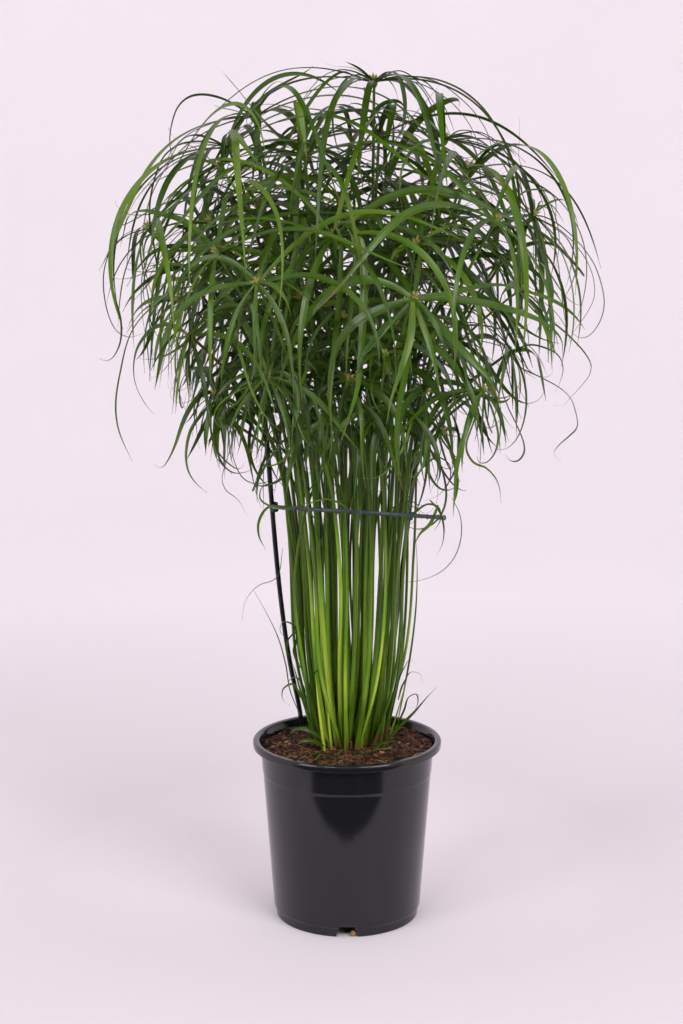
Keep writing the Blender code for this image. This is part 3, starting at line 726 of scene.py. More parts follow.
# %% Helper for strands
def carried(course, side, twist=0.0):
    """(point, across, up) along a course. The frame turns by twist up to the tip."""
    found = []
    last = len(course) - 1
    for k, point in enumerate(course):
        heading = (course[min(k + 1, last)] - course[max(k - 1, 0)]).normalized()
        side = (side - heading * side.dot(heading)).normalized()
        turn = twist * (k / last) ** 1.4
        across = side * math.cos(turn) + heading.cross(side) * math.sin(turn)
        found.append((point, across, heading.cross(across)))
    return found


def rings_along(stations, outline):
    """The outline's points at each station. outline(share) gives (across, up) pairs."""
    last = len(stations) - 1
    return [
        [point + across * x + up * y for x, y in outline(k / last)]
        for k, (point, across, up) in enumerate(stations)
    ]


class Bunch:
    """Gathers strands, each a closed tube of rings, into one mesh."""

    def __init__(self):
        self.points, self.faces, self.values, self.grids = [], [], {}, []
        self.count = 0

    def add(self, course, side, outline, twist=0.0, **values):
        """Adds a strand. A value is one number, or one for each corner of a ring."""
        rings = np.array(rings_along(carried(course, side, twist), outline))
        stations, corners = rings.shape[:2]
        grid = self.count + np.arange(stations * corners).reshape(stations, corners)
        low, high = grid[:-1], grid[1:]
        quads = [low, np.roll(low, -1, 1), np.roll(high, -1, 1), high]
        self.faces += np.stack(quads, -1).reshape(-1, 4).tolist()
        self.faces += [grid[0, ::-1].tolist(), grid[-1].tolist()]
        self.points.append(rings.reshape(-1, 3))
        self.grids.append((stations, corners))
        self.count += grid.size
        values["along"] = np.linspace(0, 1, stations)[:, None]
        for key, value in values.items():
            spread = np.broadcast_to(value, (stations, corners))
            self.values.setdefault(key, []).append(spread.reshape(-1))

    def strips(self):
        """Map coordinates, one for each corner of each face, with a strip for each strand."""
        found = []
        for row, (stations, corners) in enumerate(self.grids):
            along = np.linspace(0.001, 0.999, stations)
            across = (row + np.linspace(0.06, 0.94, corners + 1)) / len(self.grids)
            u, v = np.meshgrid(along, across, indexing="ij")
            uv = np.stack([u, v], -1)
            quads = [uv[:-1, :-1], uv[:-1, 1:], uv[1:, 1:], uv[1:, :-1]]
            found += [np.stack(quads, 2).reshape(-1, 2), uv[0, :-1][::-1], uv[-1, :-1]]
        return np.concatenate(found)

    def mesh(self, name, sharp=50):
        """All strands as one mesh, with their values and their map."""
        made = bpy.data.meshes.new(name)
        made.from_pydata(np.concatenate(self.points).tolist(), [], self.faces)
        for key, parts in self.values.items():
            store(made, key, np.concatenate(parts))
        layer = made.uv_layers.new(name="OFBake")
        layer.uv.foreach_set("vector", self.strips().astype(np.float32).ravel())
        return smoothed(made, sharp)


def circle(corners, lobes=0.0):
    """Corners of a round outline of radius 1, with three soft ridges if lobes is above 0."""
    found = []
    for k in range(corners):
        turn = math.tau * k / corners
        reach = 1 + lobes * math.cos(3 * turn)
        found.append((reach * math.cos(turn), reach * math.sin(turn)))
    return found


def scaled(outline, size):
    """An outline at another size."""
    return [(x * size, y * size) for x, y in outline]


def smooth_course(knots, count):
    """Points on a smooth curve through all the knots, closer together where it is short."""
    knots = [Vector(knot) for knot in knots]
    gaps = [(after - before).length for before, after in zip(knots, knots[1:])]
    slopes = [(knots[1] - knots[0]) / gaps[0]]
    for k in range(1, len(knots) - 1):
        before, after = (knots[k] - knots[k - 1]) / gaps[k - 1], (knots[k + 1] - knots[k]) / gaps[k]
        slopes.append((before * gaps[k] + after * gaps[k - 1]) / (gaps[k] + gaps[k - 1]))
    slopes.append((knots[-1] - knots[-2]) / gaps[-1])
    total, course = sum(gaps), []
    for k, gap in enumerate(gaps):
        steps = max(2, round(count * gap / total))
        for step in range(steps):
            t = step / steps
            start, end = knots[k], knots[k + 1]
            course.append(
                start * (2 * t**3 - 3 * t**2 + 1) + slopes[k] * gap * (t**3 - 2 * t**2 + t)
                + end * (3 * t**2 - 2 * t**3) + slopes[k + 1] * gap * (t**3 - t**2)
            )
    return course + [knots[-1]]


print("A trial course has", len(smooth_course([(0, 0, 0), (0, 0, 1), (0, 1, 2)], 20)), "points")

# %% [markdown]
# Short curved fibres of coir and a few dry roots lie over the soil. Each is a strand with
# five sides, between 7 and 30 mm long, that bends in a plane of its own and stays low.

# %% Soil fibres
FIBRES = 420
FIBRE_LENGTH = (0.007, 0.030)
FIBRE_RADIUS = (0.00022, 0.00055)
FIBRE_REACH = 0.93
FIBRE_BEND = 2.2
FIBRE_LIFT = (0.0004, 0.0030)
FIBRE_STEPS = 8
UP = Vector((0, 0, 1))


def fibre_course(dice):
    """Points of a bent fibre that follows the soil's surface."""
    turn, reach = dice.uniform(0, math.tau), SOIL_RIM * FIBRE_REACH * math.sqrt(dice.random())
    x, y = reach * math.cos(turn), reach * math.sin(turn)
    aim, length = dice.uniform(0, math.tau), dice.uniform(*FIBRE_LENGTH)
    bend, lift = dice.uniform(-FIBRE_BEND, FIBRE_BEND), dice.uniform(*FIBRE_LIFT)
    course = []
    for k in range(FIBRE_STEPS + 1):
        near = min(1.0, SOIL_RIM * 0.97 / max(math.hypot(x, y), 1e-6))
        x, y = x * near, y * near
        height = rough_height(x, y) + lift * math.sin(math.pi * k / FIBRE_STEPS)
        course.append(Vector((x, y, height)))
        x += math.cos(aim) * length / FIBRE_STEPS
        y += math.sin(aim) * length / FIBRE_STEPS
        aim += bend / FIBRE_STEPS
    return course


def fibre_outline(radius):
    """The outline of a fibre that is thin at both ends."""
    return lambda share: scaled(
        circle(5), radius * (0.35 + 0.65 * math.sin(math.pi * share) ** 0.5))


def fibre_finish():
    coir = Finish("coir_fibre", Specular_IOR_Level=0.3)
    tint, place = coir.value("tint"), coir.place()
    brown = coir.mix(tint, (0.050, 0.018, 0.009), (0.25, 0.115, 0.045))
    straw = coir.mix(coir.spread(tint, 0.9, 0.93), brown, (0.36, 0.27, 0.13))
    grain = coir.grain(place, 900.0)
    coir.colour(coir.mix(coir.spread(grain, 0.3, 0.8, 0.0, 0.4), straw, (0.03, 0.012, 0.008)))
    coir.roughness(coir.spread(grain, 0.2, 0.8, 0.6, 0.9))
    coir.bump(grain, 0.0002, 0.6)
    return coir.material


fibres, dice = Bunch(), random.Random(31)
for _ in range(FIBRES):
    course, outline = fibre_course(dice), fibre_outline(dice.uniform(*FIBRE_RADIUS))
    fibres.add(course, UP, outline, tint=dice.random())
coir_finish = fibre_finish()
show("soil_fibres", fibres.mesh("soil_fibres"), coir_finish, "potting_soil")
print(FIBRES, "fibres are laid")

# %% [markdown]
# ## The hoop and its canes
# A flat plastic hoop, dark blue green, goes round the clump half way up. It tips down to the
# back and to the right. An eye on each side slips over a cane. The band could be a plain
# torus, but the real one is taller than thick with soft edges, and small studs stand on it,
# so its outline is turned in the hoop's own frame and the studs are added to it.

# %% Hoop
HOOP_CENTRE = Vector((0.0150, 0.0150, 0.5180))
HOOP_RADIUS = 0.1075
HOOP_PITCH = math.radians(9.7)
HOOP_ROLL = math.radians(3.6)
HOOP_BAND = (0.0032, 0.0050)  # thickness and height
HOOP_CORNERS = 20
HOOP_SIDES = 180
HOOP_RIPPLE = 0.00045
STUDS = 24
STUD_SIZE = 0.0021
STUD_SHAPE = (1.15, 0.9, 1.5, 1)
CANE_RADIUS = 0.0030
CANE_WARTS = 0.05
EYE_RADIUS = 0.0052
EYE_LENGTH = 0.0110
CANE_TOP = 0.680
CANE_STATIONS = 90
CANES = (  # where each is held, as a direction from the hoop's middle, and its knots below that
    ("cane_left", 175, ((-0.056, 0.072, 0.140), (-0.0605, 0.080, 0.2315), (-0.074, 0.064, 0.311))),
    ("cane_right", 52, ((0.046, 0.050, 0.140), (0.050, 0.056, 0.2315), (0.0605, 0.070, 0.332))),
)


def hoop_matrix():
    """The hoop's own frame, tipped to the back and to one side."""
    tilt = Matrix.Rotation(-HOOP_PITCH, 4, "X") @ Matrix.Rotation(HOOP_ROLL, 4, "Y")
    return Matrix.Translation(HOOP_CENTRE) @ tilt


def on_hoop(degrees):
    """A point of the hoop's centre line."""
    turn = math.radians(degrees)
    return hoop_matrix() @ (Vector((math.cos(turn), math.sin(turn), 0)) * HOOP_RADIUS)


def cane_course(degrees, knots):
    """Stations of a cane. From its last knot it runs straight through its eye."""
    course = [Vector(knot) for knot in knots]
    slope = on_hoop(degrees) - course[-1]
    return course + [course[-1] + slope * (CANE_TOP - course[-1].z) / slope.z]


def band_outline():
    """The band's section as (radius, height) pairs, with its four edges rounded."""
    thick, tall = HOOP_BAND
    found = []
    for x, z in circle(HOOP_CORNERS):
        found.append((
            HOOP_RADIUS + math.copysign(abs(x) ** 0.55, x) * thick / 2,
            math.copysign(abs(z) ** 0.45, z) * tall / 2,
        ))
    return found


def eye_tube(along, middle):
    """A short tube with a rounded rim, which slips over a cane."""
    half, bore = EYE_LENGTH / 2, CANE_RADIUS + GAP
    corners = [
        (bore, -half, 0.0004), (EYE_RADIUS, -half, 0.0010), (EYE_RADIUS, half, 0.0010),
        (bore, half, 0.0004),
    ]
    ring = rounded([corners[-1], *corners, corners[0]])[1:-1]
    bm = turned(ring, 32, closed=True)
    turn = along.to_track_quat("Z", "Y").to_matrix().to_4x4()
    bmesh.ops.transform(bm, matrix=Matrix.Translation(middle) @ turn, verts=bm.verts[:])
    return bm


def cane_outline(name):
    """The outline of a warty rod with a rounded top. Each cane has warts of its own."""
    dice = random.Random(name)

    def outline(share, corners=circle(16)):
        wart = 1 + CANE_WARTS * dice.random()
        cap = min(1.0, 0.35 + 60 * (1 - share))
        return scaled(corners, CANE_RADIUS * wart * cap)

    return outline


def merged(*parts):
    """One bmesh that holds the faces of several."""
    whole = bmesh.new()
    for bm in parts:
        data = bpy.data.meshes.new("part")
        bm.to_mesh(data)
        bm.free()
        whole.from_mesh(data)
        bpy.data.meshes.remove(data)
    bmesh.ops.recalc_face_normals(whole, faces=whole.faces[:])
    return whole


canes = [cane_course(degrees, knots) for _, degrees, knots in CANES]
hoop_bm = turned(band_outline(), HOOP_SIDES, closed=True)
for vert in hoop_bm.verts:
    vert.co.z += HOOP_RIPPLE * noise.noise(vert.co * 60)
for stud in range(STUDS):
    angle = math.tau * (stud + 0.3) / STUDS
    spot = Matrix.Rotation(angle, 4, "Z") @ Matrix.Translation((HOOP_RADIUS, 0, 0))
    size = STUD_SIZE * (0.85 + 0.3 * random.Random(stud).random())
    shape = spot @ Matrix.Diagonal(STUD_SHAPE)
    bmesh.ops.create_icosphere(hoop_bm, subdivisions=2, radius=size, matrix=shape)
bmesh.ops.transform(hoop_bm, matrix=hoop_matrix(), verts=hoop_bm.verts[:])
eyes = [
    eye_tube((course[-1] - course[-2]).normalized(), on_hoop(degrees))
    for (_, degrees, _), course in zip(CANES, canes)
]
print("The hoop has", STUDS, "studs and", len(eyes), "eyes")

# %% [markdown]
# The hoop's plastic is dark green with a grey bloom. The canes are steel under a near black
# coating with small warts, and it is scuffed paler here and there.


# %% Hoop and cane finishes
def hoop_plastic():
    band = Finish("hoop_plastic", Specular_IOR_Level=0.45)
    place = band.place()
    bloom = band.spread(band.grain(place, 110.0, 5.0), 0.4, 0.7)
    band.colour(band.mix(bloom, (0.009, 0.018, 0.017), (0.030, 0.046, 0.046)))
    band.roughness(band.spread(bloom, 0, 1, 0.34, 0.56))
    band.bump(band.grain(place, 1400.0, 2.0), 0.0002, 0.5)
    return band.material


def cane_coating():
    coat = Finish("cane_coating", Specular_IOR_Level=0.45)
    place = coat.place()
    scuffs = coat.spread(coat.grain(coat.squeeze(place, (260, 260, 40)), 1.0, 5.0), 0.58, 0.75)
    coat.colour(coat.mix(scuffs, (0.0075, 0.0095, 0.0105), (0.035, 0.042, 0.042)))
    coat.roughness(coat.spread(scuffs, 0, 1, 0.30, 0.55))
    coat.bump(coat.grain(place, 700.0, 2.0), 0.0003, 0.5)
    return coat.material


show("hoop_band", finished_mesh("hoop_band", merged(hoop_bm, *eyes)), hoop_plastic(),
     "hoop_plastic", "support_hoop")
coating = cane_coating()
for (name, _, _), course in zip(CANES, canes):
    rod = Bunch()
    rod.add(smooth_course(course, CANE_STATIONS), Vector((1, 0, 0)), cane_outline(name))
    show(f"{name}_rod", rod.mesh(name), coating, "cane_coating", name)
print(len(canes), "canes reach up to", CANE_TOP, "m")

# %% [markdown]
# ## Growing the plant
# The solids of the stems and blades were grown by a few simple rules: a stem leaves the clump
# on the side that it leans to, keeps inside the hoop, and runs out to its crown. A blade
# leaves its hub with a given slope, gravity turns it over step by step, and it may not touch
# what is already there. The same rules with the same seeds are run again here, so every fine
# stem and blade lies on its solid without a single number having to be copied.

# %% Sizes that the plant grows by
CLUMP = Vector((0.004, 0.027))  # its middle, where it leaves the soil
CLUMP_RADIUS = 0.046
CLUMP_DEPTH = 0.82  # front to back, over its width
PLANTED = 0.030
STEM_RADIUS = 0.0029
STEM_TIP_RADIUS = 0.0017
STEM_BEND = 0.018
HUB_RADIUS = 0.0052
HUB_HEIGHT = 0.0040
HUB_ROOM = 0.0130
HELD = Vector((0.000, 0.018))  # middle of the stems where the hoop holds them
HELD_RADIUS = 0.080
ARCH = 1.6  # how late a stem leans out above the hoop
CLEARINGS = (  # two corners of each room that the stems leave free
    ((-0.046, -0.009, 0.490), (0.017, 0.079, 0.546)),  # in the clump, inside the hoop
    ((-0.070, -0.076, 0.223), (0.070, -0.015, 0.236)),  # over the soil, in front of the clump
)
CLEAR_BY = 0.0020
STEM_SPARE = 0.0005  # room that is kept round a stem
BLADES = 8
BLADE_LENGTH = (0.240, 0.370)
BLADE_WIDTH = (0.0065, 0.0105)
BLADE_RISE = (0.10, 0.60)
BLADE_LIMP = (4.5, 10.0)
BLADE_SWAY = 2.6
BLADE_WANDER = 3.2
BLADE_CURL = (-12.0, 24.0)
CURL_FROM = 0.50  # the share of a broad blade's length where it begins to curl
PULL, PULL_MORE = 0.35, 1.9  # gravity's pull at a blade's root, and what the tip adds
DOWN = Vector((0, 0, -1))
FRONT_CROWN = 2  # the crown whose wide star of blades faces the front
FRONT_BLADES = (  # width of each of its blades, then x, y, z of places on its way, in mm
    (9.0, (69, -224, 756, 58, -238, 720, 47, -243, 687, 42, -238, 655)),
    (10.0, (113, -226, 753, 139, -236, 727, 156, -236, 708, 167, -230, 683)),
    (10.5, (108, -196, 795, 142, -189, 791, 178, -182, 783, 217, -174, 769, 241, -165, 749, 245,
        -158, 726)),
    (6.5, (115, -180, 800, 150, -158, 807, 181, -140, 807, 205, -130, 795)),
    (6.5, (79, -174, 828, 83, -152, 851, 82, -132, 870)),
    (8.0, (56, -172, 823, 39, -148, 841, 19, -130, 842, 3, -118, 828)),
    (11.0, (47, -202, 810, 17, -204, 816, -13, -208, 807, -40, -214, 782, -63, -218, 742, -79,
        -216, 697)),
    (10.5, (35, -221, 784, 7, -234, 770, -11, -241, 747, -20, -243, 717, -22, -240, 689)),
)
BLADE_STEPS = 24
BLADE_STATIONS = (0, 7, 13, 19, 24)
WIDEST = 0.35
BARE = 0.012
BOOKED = 0.026
TRIES = 1500
STEM_SEED = 900
BLADE_SEED = 500
ROOM_CENTRE = Vector((0.006, 0.000))
ROOM_RADIUS = 0.309
ROOM_WAIST = 0.820
ROOM_TOP = 1.066
ROOM_FOOT = 0.440
ROOM_SAG = 1.35
SAMPLE = 0.0024
SPACE = 0.0018
CELL = 0.022
CROWNS = (  # x, y, z in mm, then how far the crown nods outwards
    (32, 0, 1044, 0.00),
    (73, -200, 796, 0.45),
    (-17, -160, 862, 0.20),
    (-50, -80, 955, 0.10),
    (12, -50, 884, 0.15),
    (-114, 20, 1004, 0.05),
    (-141, -40, 966, 0.05),
    (-240, 0, 870, 0.00),
    (-149, -140, 843, 0.10),
    (-100, -205, 812, 0.10),
    (-185, -85, 745, 0.20),
    (-150, 50, 630, 0.30),
    (119, 20, 977, 0.05),
    (140, -60, 940, 0.05),
    (150, 95, 930, 0.00),
    (170, -120, 880, 0.10),
    (40, 85, 985, 0.00),
    (225, 0, 885, 0.00),
    (205, 60, 715, 0.20),
    (160, -75, 680, 0.25),
    (-90, -150, 703, 0.25),
    (-60, 165, 930, 0.00),
    (80, 200, 880, 0.00),
    (-180, 130, 850, 0.00),
    (195, 165, 820, 0.00),
    (-10, 235, 800, 0.00),
)
hubs = [Vector((x / 1000, y / 1000, z / 1000)) for x, y, z, _ in CROWNS]
nods = [nod for *_, nod in CROWNS]
print(len(hubs), "stems with", BLADES, "broad blades each will lie on their solids")


# %% Free places
class Thicket:
    """Remembers where pieces are, so that the next one can grow clear of them."""

    def __init__(self):
        self.cells = {}

    def add(self, samples, owner):
        for point, radius in samples:
            key = tuple(math.floor(value / CELL) for value in point)
            self.cells.setdefault(key, []).append((point, radius, owner))

    def near(self, point):
        i, j, k = (math.floor(value / CELL) for value in point)
        for a in (i - 1, i, i + 1):
            for b in (j - 1, j, j + 1):
                for c in (k - 1, k, k + 1):
                    yield from self.cells.get((a, b, c), ())

    def is_clear(self, samples, owner):
        for point, radius in samples:
            for other, width, whose in self.near(point):
                if whose != owner and (point - other).length < radius + width + SPACE:
                    return False
        return True


def sampled(stations):
    """Evenly spaced (point, radius) samples along a chain of such stations."""
    found = []
    for (start, thick), (end, thin) in zip(stations, stations[1:]):
        count = max(1, math.ceil((end - start).length / SAMPLE))
        for step in range(count):
            share = step / count
            found.append((start.lerp(end, share), thick + (thin - thick) * share))
    return found + [stations[-1]]


thicket = Thicket()
for (name, _, _), course in zip(CANES, canes):
    thicket.add(sampled([(point, CANE_RADIUS) for point in course]), name)
thicket.add([(on_hoop(3 * k), EYE_RADIUS) for k in range(120)], "support_hoop")
print("The canes and the hoop fill", len(thicket.cells), "cells")


# %% Courses of the stems
def stem_course(base, hold, tip, nod, belly=2):
    """Stations of a stem from under the soil to its hub, and the way the hub faces."""
    start = Vector((base.x, base.y, SOIL_LEVEL))
    lean = Vector((tip.x - CLUMP.x, tip.y - CLUMP.y, 0))
    rise = tip.z - SOIL_LEVEL
    at_hoop = (HOOP_CENTRE.z - SOIL_LEVEL) / rise

    def at(share):
        if share < at_hoop:
            spot = base.lerp(hold, 1 - (1 - share / at_hoop) ** belly)
        else:
            spot = hold.lerp(tip.xy, ((share - at_hoop) / (1 - at_hoop)) ** ARCH)
        return Vector((spot.x, spot.y, SOIL_LEVEL + rise * share))

    axis = (at(1.0) - at(0.93)).normalized()
    axis = (axis + lean.normalized() * nod).normalized()
    top = tip - axis * (HUB_HEIGHT / 2 + GAP)
    neck = top - axis * STEM_BEND
    shift = neck - at(1.0)
    first = (at(0.06) - at(0.0)).normalized()
    shares = (0.34 * at_hoop, 0.82 * at_hoop, 0.46 + 0.54 * at_hoop)
    middle = [at(share) + shift * share**3 for share in shares]
    return [start - first * PLANTED, *middle, neck, top], axis


def towards(turn):
    """A step of 1 in a direction, seen from above."""
    return Vector((math.cos(turn), math.sin(turn)))


def stem_tries(tip, nod, dice, tries):
    """Yields one course after another that leads to a tip, each from a wilder base."""
    lean = Vector((tip.x, tip.y)) - CLUMP
    aim = math.atan2(lean.y, lean.x)
    spread = min(1.0, math.sqrt(lean.length / 0.24))
    want = CLUMP_RADIUS * spread
    for attempt in range(tries):
        loose = attempt / tries
        angle = aim + dice.uniform(-1, 1) * (0.25 + 2.4 * loose)
        radius = min(CLUMP_RADIUS, want * (1 + dice.uniform(-1, 1) * (0.2 + loose)))
        base = CLUMP + Vector((math.cos(angle), math.sin(angle) * CLUMP_DEPTH)) * abs(radius)
        angle += dice.uniform(-1, 1) * (0.3 + 0.8 * loose)
        radius = HELD_RADIUS * min(1.0, spread * (1 + dice.uniform(-0.9, 0.4) * (0.2 + loose)))
        hold = HELD + towards(angle) * radius
        yield stem_course(base, hold, tip, nod)


def in_clearing(samples):
    """Whether a stem comes into a room that stays free."""
    for low, high in CLEARINGS:
        for point, radius in samples:
            out = Vector([max(a - p, p - b, 0.0) for a, p, b in zip(low, point, high)])
            if out.length < radius + CLEAR_BY:
                return True
    return False


def grow_stems(thicket):
    """Each stem in turn takes the first free place on its own side of the clump."""
    stems, axes = [], []
    for number, (tip, nod) in enumerate(zip(hubs, nods)):
        for course, axis in stem_tries(tip, nod, random.Random(STEM_SEED + number), TRIES):
            samples = sampled([(point, STEM_RADIUS + STEM_SPARE) for point in course])
            if in_clearing(samples):
                continue
            if thicket.is_clear(samples + [(tip, HUB_ROOM)], ("stem", number)):
                break
        neck = round(STEM_BEND / SAMPLE)
        thicket.add(samples[:-neck], ("stem", number))
        thicket.add(samples[-neck:] + [(tip, HUB_ROOM)], ("crown", number))
        stems.append(course)
        axes.append(axis)
    return stems, axes


stems, axes = grow_stems(thicket)
print("The longest stem is", round(1000 * (stems[0][-1] - stems[0][0]).length), "mm long")


# %% Courses of the broad blades
LED_STEPS = 20  # points on the way from one given place to the next


def blade_width(share):
    """Width of a blade at a share of its length, over its greatest width."""
    if share < WIDEST:
        return 0.45 + 0.55 * math.sin(share / WIDEST * math.pi / 2)
    return max(0.0, 1 - ((share - WIDEST) / (1 - WIDEST)) ** 1.7)


def blade_course(root, aim, length, bends):
    """Points of the curve that a blade follows as gravity pulls it over."""
    limp, sway, wander, swing, curl = bends
    points = [root]
    heading = aim.normalized()
    side = heading.orthogonal() if heading.z > 0.99 else heading.cross(UP)
    step = length / BLADE_STEPS
    for number in range(BLADE_STEPS):
        share = (number + 0.5) / BLADE_STEPS
        pull = DOWN * limp * (PULL + PULL_MORE * share) * step
        turn = sway * share + wander * share * math.sin(swing + 7 * share)
        heading = (heading + pull + heading.cross(DOWN) * turn * step).normalized()
        side = (side - heading * side.dot(heading)).normalized()
        over = curl * max(0.0, share - CURL_FROM) / (1 - CURL_FROM) * step
        heading = Matrix.Rotation(over, 3, side) @ heading
        points.append(points[-1] + heading * step)
    return points


def blade_bends(dice, loose):
    """How a blade bends: limp, sway, wander, where its swing starts, and curl."""
    return (
        dice.uniform(*BLADE_LIMP) * (1 + 1.5 * loose),
        dice.uniform(-1, 1) * BLADE_SWAY * (1 + loose),
        dice.uniform(0, 1) * BLADE_WANDER,
        dice.uniform(0, math.tau),
        dice.uniform(*BLADE_CURL),
    )


def grouped(values, size):
    """Cuts a row of numbers into groups, such as the x, y, z of each place."""
    return [values[k:k + size] for k in range(0, len(values), size)]


def led_course(root, knots):
    """Evenly spaced points of a smooth curve from a root through some knots."""
    chain = [root, *(Vector(knot) for knot in knots)]
    chain = [2 * chain[0] - chain[1], *chain, 2 * chain[-1] - chain[-2]]
    fine = [root]
    for a, b, c, d in zip(chain, chain[1:], chain[2:], chain[3:]):
        for step in range(1, LED_STEPS + 1):
            t = step / LED_STEPS
            bent = (2 * a - 5 * b + 4 * c - d) * t**2 + (3 * b - a - 3 * c + d) * t**3
            fine.append((2 * b + (c - a) * t + bent) / 2)
    reach = [0.0]
    for before, after in zip(fine, fine[1:]):
        reach.append(reach[-1] + (after - before).length)
    course, k = [], 0
    for number in range(BLADE_STEPS + 1):
        wanted = reach[-1] * number / BLADE_STEPS
        while k < len(fine) - 2 and reach[k + 1] < wanted:
            k += 1
        course.append(fine[k].lerp(fine[k + 1], (wanted - reach[k]) / (reach[k + 1] - reach[k])))
    return course


def in_room(point):
    """Whether a point lies in the egg-shaped room that the crowns fill."""
    end, power = (ROOM_TOP, 2) if point.z > ROOM_WAIST else (ROOM_FOOT, ROOM_SAG)
    share = (point.z - ROOM_WAIST) / (end - ROOM_WAIST)
    if share >= 1:
        return False
    reach = ROOM_RADIUS * (1 - share**power) ** (1 / power)
    return (Vector((point.x, point.y)) - ROOM_CENTRE).length <= reach


def spoke(axis, turn):
    """The way out from a hub at a turn round its axis."""
    return Matrix.Rotation(turn, 3, axis) @ axis.orthogonal().normalized()


def blade_root(number, blade, axis):
    """Where a blade leaves its hub, and the way it leaves it."""
    out = spoke(axis, math.tau * (blade + 0.5) / BLADES)
    return hubs[number] + out * HUB_RADIUS * math.cos(math.pi / BLADES), out


def stations_of(course, width):
    """(point, radius) pairs where a blade's solid has its corners."""
    return [
        (course[k], width / 2 * blade_width(k / BLADE_STEPS)) for k in BLADE_STATIONS
    ]


def grow_blade(number, blade, axis, dice, thicket):
    """One blade that stays in the room and clear of all that is there."""
    root, straight = blade_root(number, blade, axis)
    bare = math.ceil(BARE / SAMPLE)
    if number == FRONT_CROWN - 1:
        width, way = FRONT_BLADES[blade]
        width, way = width / 1000, [value / 1000 for value in way]
        course = led_course(root, grouped(way, 3))
        samples = sampled(stations_of(course, width))
        if not thicket.is_clear(samples[bare:], ("crown", number)):
            raise RuntimeError(f"blade {blade + 1} of the front crown runs into something")
        thicket.add(samples[:bare], ("crown", number))
        thicket.add(samples[bare:], ("blade", number, blade))
        return course, width
    length = dice.uniform(*BLADE_LENGTH)
    width = dice.uniform(*BLADE_WIDTH)
    for attempt in range(TRIES):
        loose = attempt / TRIES
        out = Matrix.Rotation(dice.uniform(-0.13, 0.13), 3, axis) @ straight
        aim = out + axis * (dice.uniform(*BLADE_RISE) + dice.uniform(-0.8, 0.2) * loose)
        course = blade_course(root, aim, length * (1 - 0.85 * loose), blade_bends(dice, loose))
        slimmer = width * (1 - 0.4 * loose)
        stations = stations_of(course, slimmer)
        if not all(in_room(point) for point, _ in stations):
            continue
        samples = sampled(stations)
        if not thicket.is_clear(samples[bare:], ("crown", number)):
            continue
        thicket.add(samples[:bare], ("crown", number))
        thicket.add(samples[bare:], ("blade", number, blade))
        return course, slimmer
    raise RuntimeError(f"crown {number + 1} has no room for blade {blade + 1}")


def grow_blades(axes, thicket):
    """The blades of each crown, as (course, greatest width) pairs."""
    slope = sum(BLADE_RISE) / 2
    for number, axis in enumerate(axes):
        for blade in range(BLADES):
            root, out = blade_root(number, blade, axis)
            end = root + (out + axis * slope).normalized() * BOOKED
            reach = [(root, BLADE_WIDTH[0] / 2), (end, BLADE_WIDTH[1] / 2)]
            thicket.add(sampled(reach), ("crown", number))
    crowns = {}
    for number in sorted(range(len(axes)), key=lambda number: number != FRONT_CROWN - 1):
        dice = random.Random(BLADE_SEED + number)
        crowns[number] = [
            grow_blade(number, blade, axes[number], dice, thicket) for blade in range(BLADES)
        ]
    return [crowns[number] for number in range(len(axes))]


crowns = grow_blades(axes, thicket)
print(sum(len(blades) for blades in crowns), "broad blades have grown")

# %% [markdown]
# ## Stems
# A stem of this sedge is a smooth rod, bluntly three sided, with fine lengthwise lines. Its green
# differs from stem to stem at random, and painted light and shade are laid over that: painted light
# makes it pale and yellow green low down in the middle of the clump, and painted shade makes it
# darker higher up, under the crowns, and at the outside. At the soil a brown papery sheath wraps
# it. Each is one strand: a smooth course through its solid's stations, with an outline that swells
# a little at the sheath.

# %% Stem strands
STEM_CORNERS = 12
STEM_STATIONS = 34
SHEATH_REACH = 0.016
SHEATH_SWELL = 0.22
STEM_LOBES = 0.05
PAINTED_LIGHT_STEM_REACH = 0.036  # how far from the clump's middle stems are painted paler, as painted light


def add_rod(bunch, line, side, section, radius_at, tint, brown=False):
    """Adds a rod for the rind's finish. A brown one is sheath from its foot to its top."""
    heights = [[0.0 if brown else max(0.0, point.z - SOIL_LEVEL)] for point in line]
    bunch.add(
        line, side, lambda share: scaled(section, radius_at(share)), tint=tint,
        height=heights, around=np.linspace(0, 1, len(section), endpoint=False),
    )


def add_stem(bunch, course, axis, thick, tint):
    """Adds a stem that follows a course, with a thickness at its foot."""
    line = smooth_course(course, STEM_STATIONS)
    length = (line[-1] - line[0]).length
    thin = STEM_TIP_RADIUS * thick / STEM_RADIUS

    def radius_at(share):
        above = max(0.0, share * length - PLANTED)
        swell = SHEATH_SWELL * math.exp(-((above / SHEATH_REACH) ** 2))
        return (thick + (thin - thick) * max(0.0, share * 1.08 - 0.08)) * (1 + swell)

    add_rod(bunch, line, axis.orthogonal(), circle(STEM_CORNERS, STEM_LOBES), radius_at, tint)


def clamped(value):
    """The value, or the nearer of 0 and 1 where it lies outside them."""
    return min(1.0, max(0.0, value))


def stem_tint(course, dice):
    """0 for a dark stem to 1 for a pale one, at random round a mean that is painted light: paler in
    the middle of the clump, darker at its sides.
    """
    inner = max(0.0, 1 - abs(course[0].x - CLUMP.x) / PAINTED_LIGHT_STEM_REACH)
    return clamped(dice.gauss(0.12 + 0.38 * inner, 0.26))


print("A stem has", STEM_CORNERS, "corners and about", STEM_STATIONS, "stations")


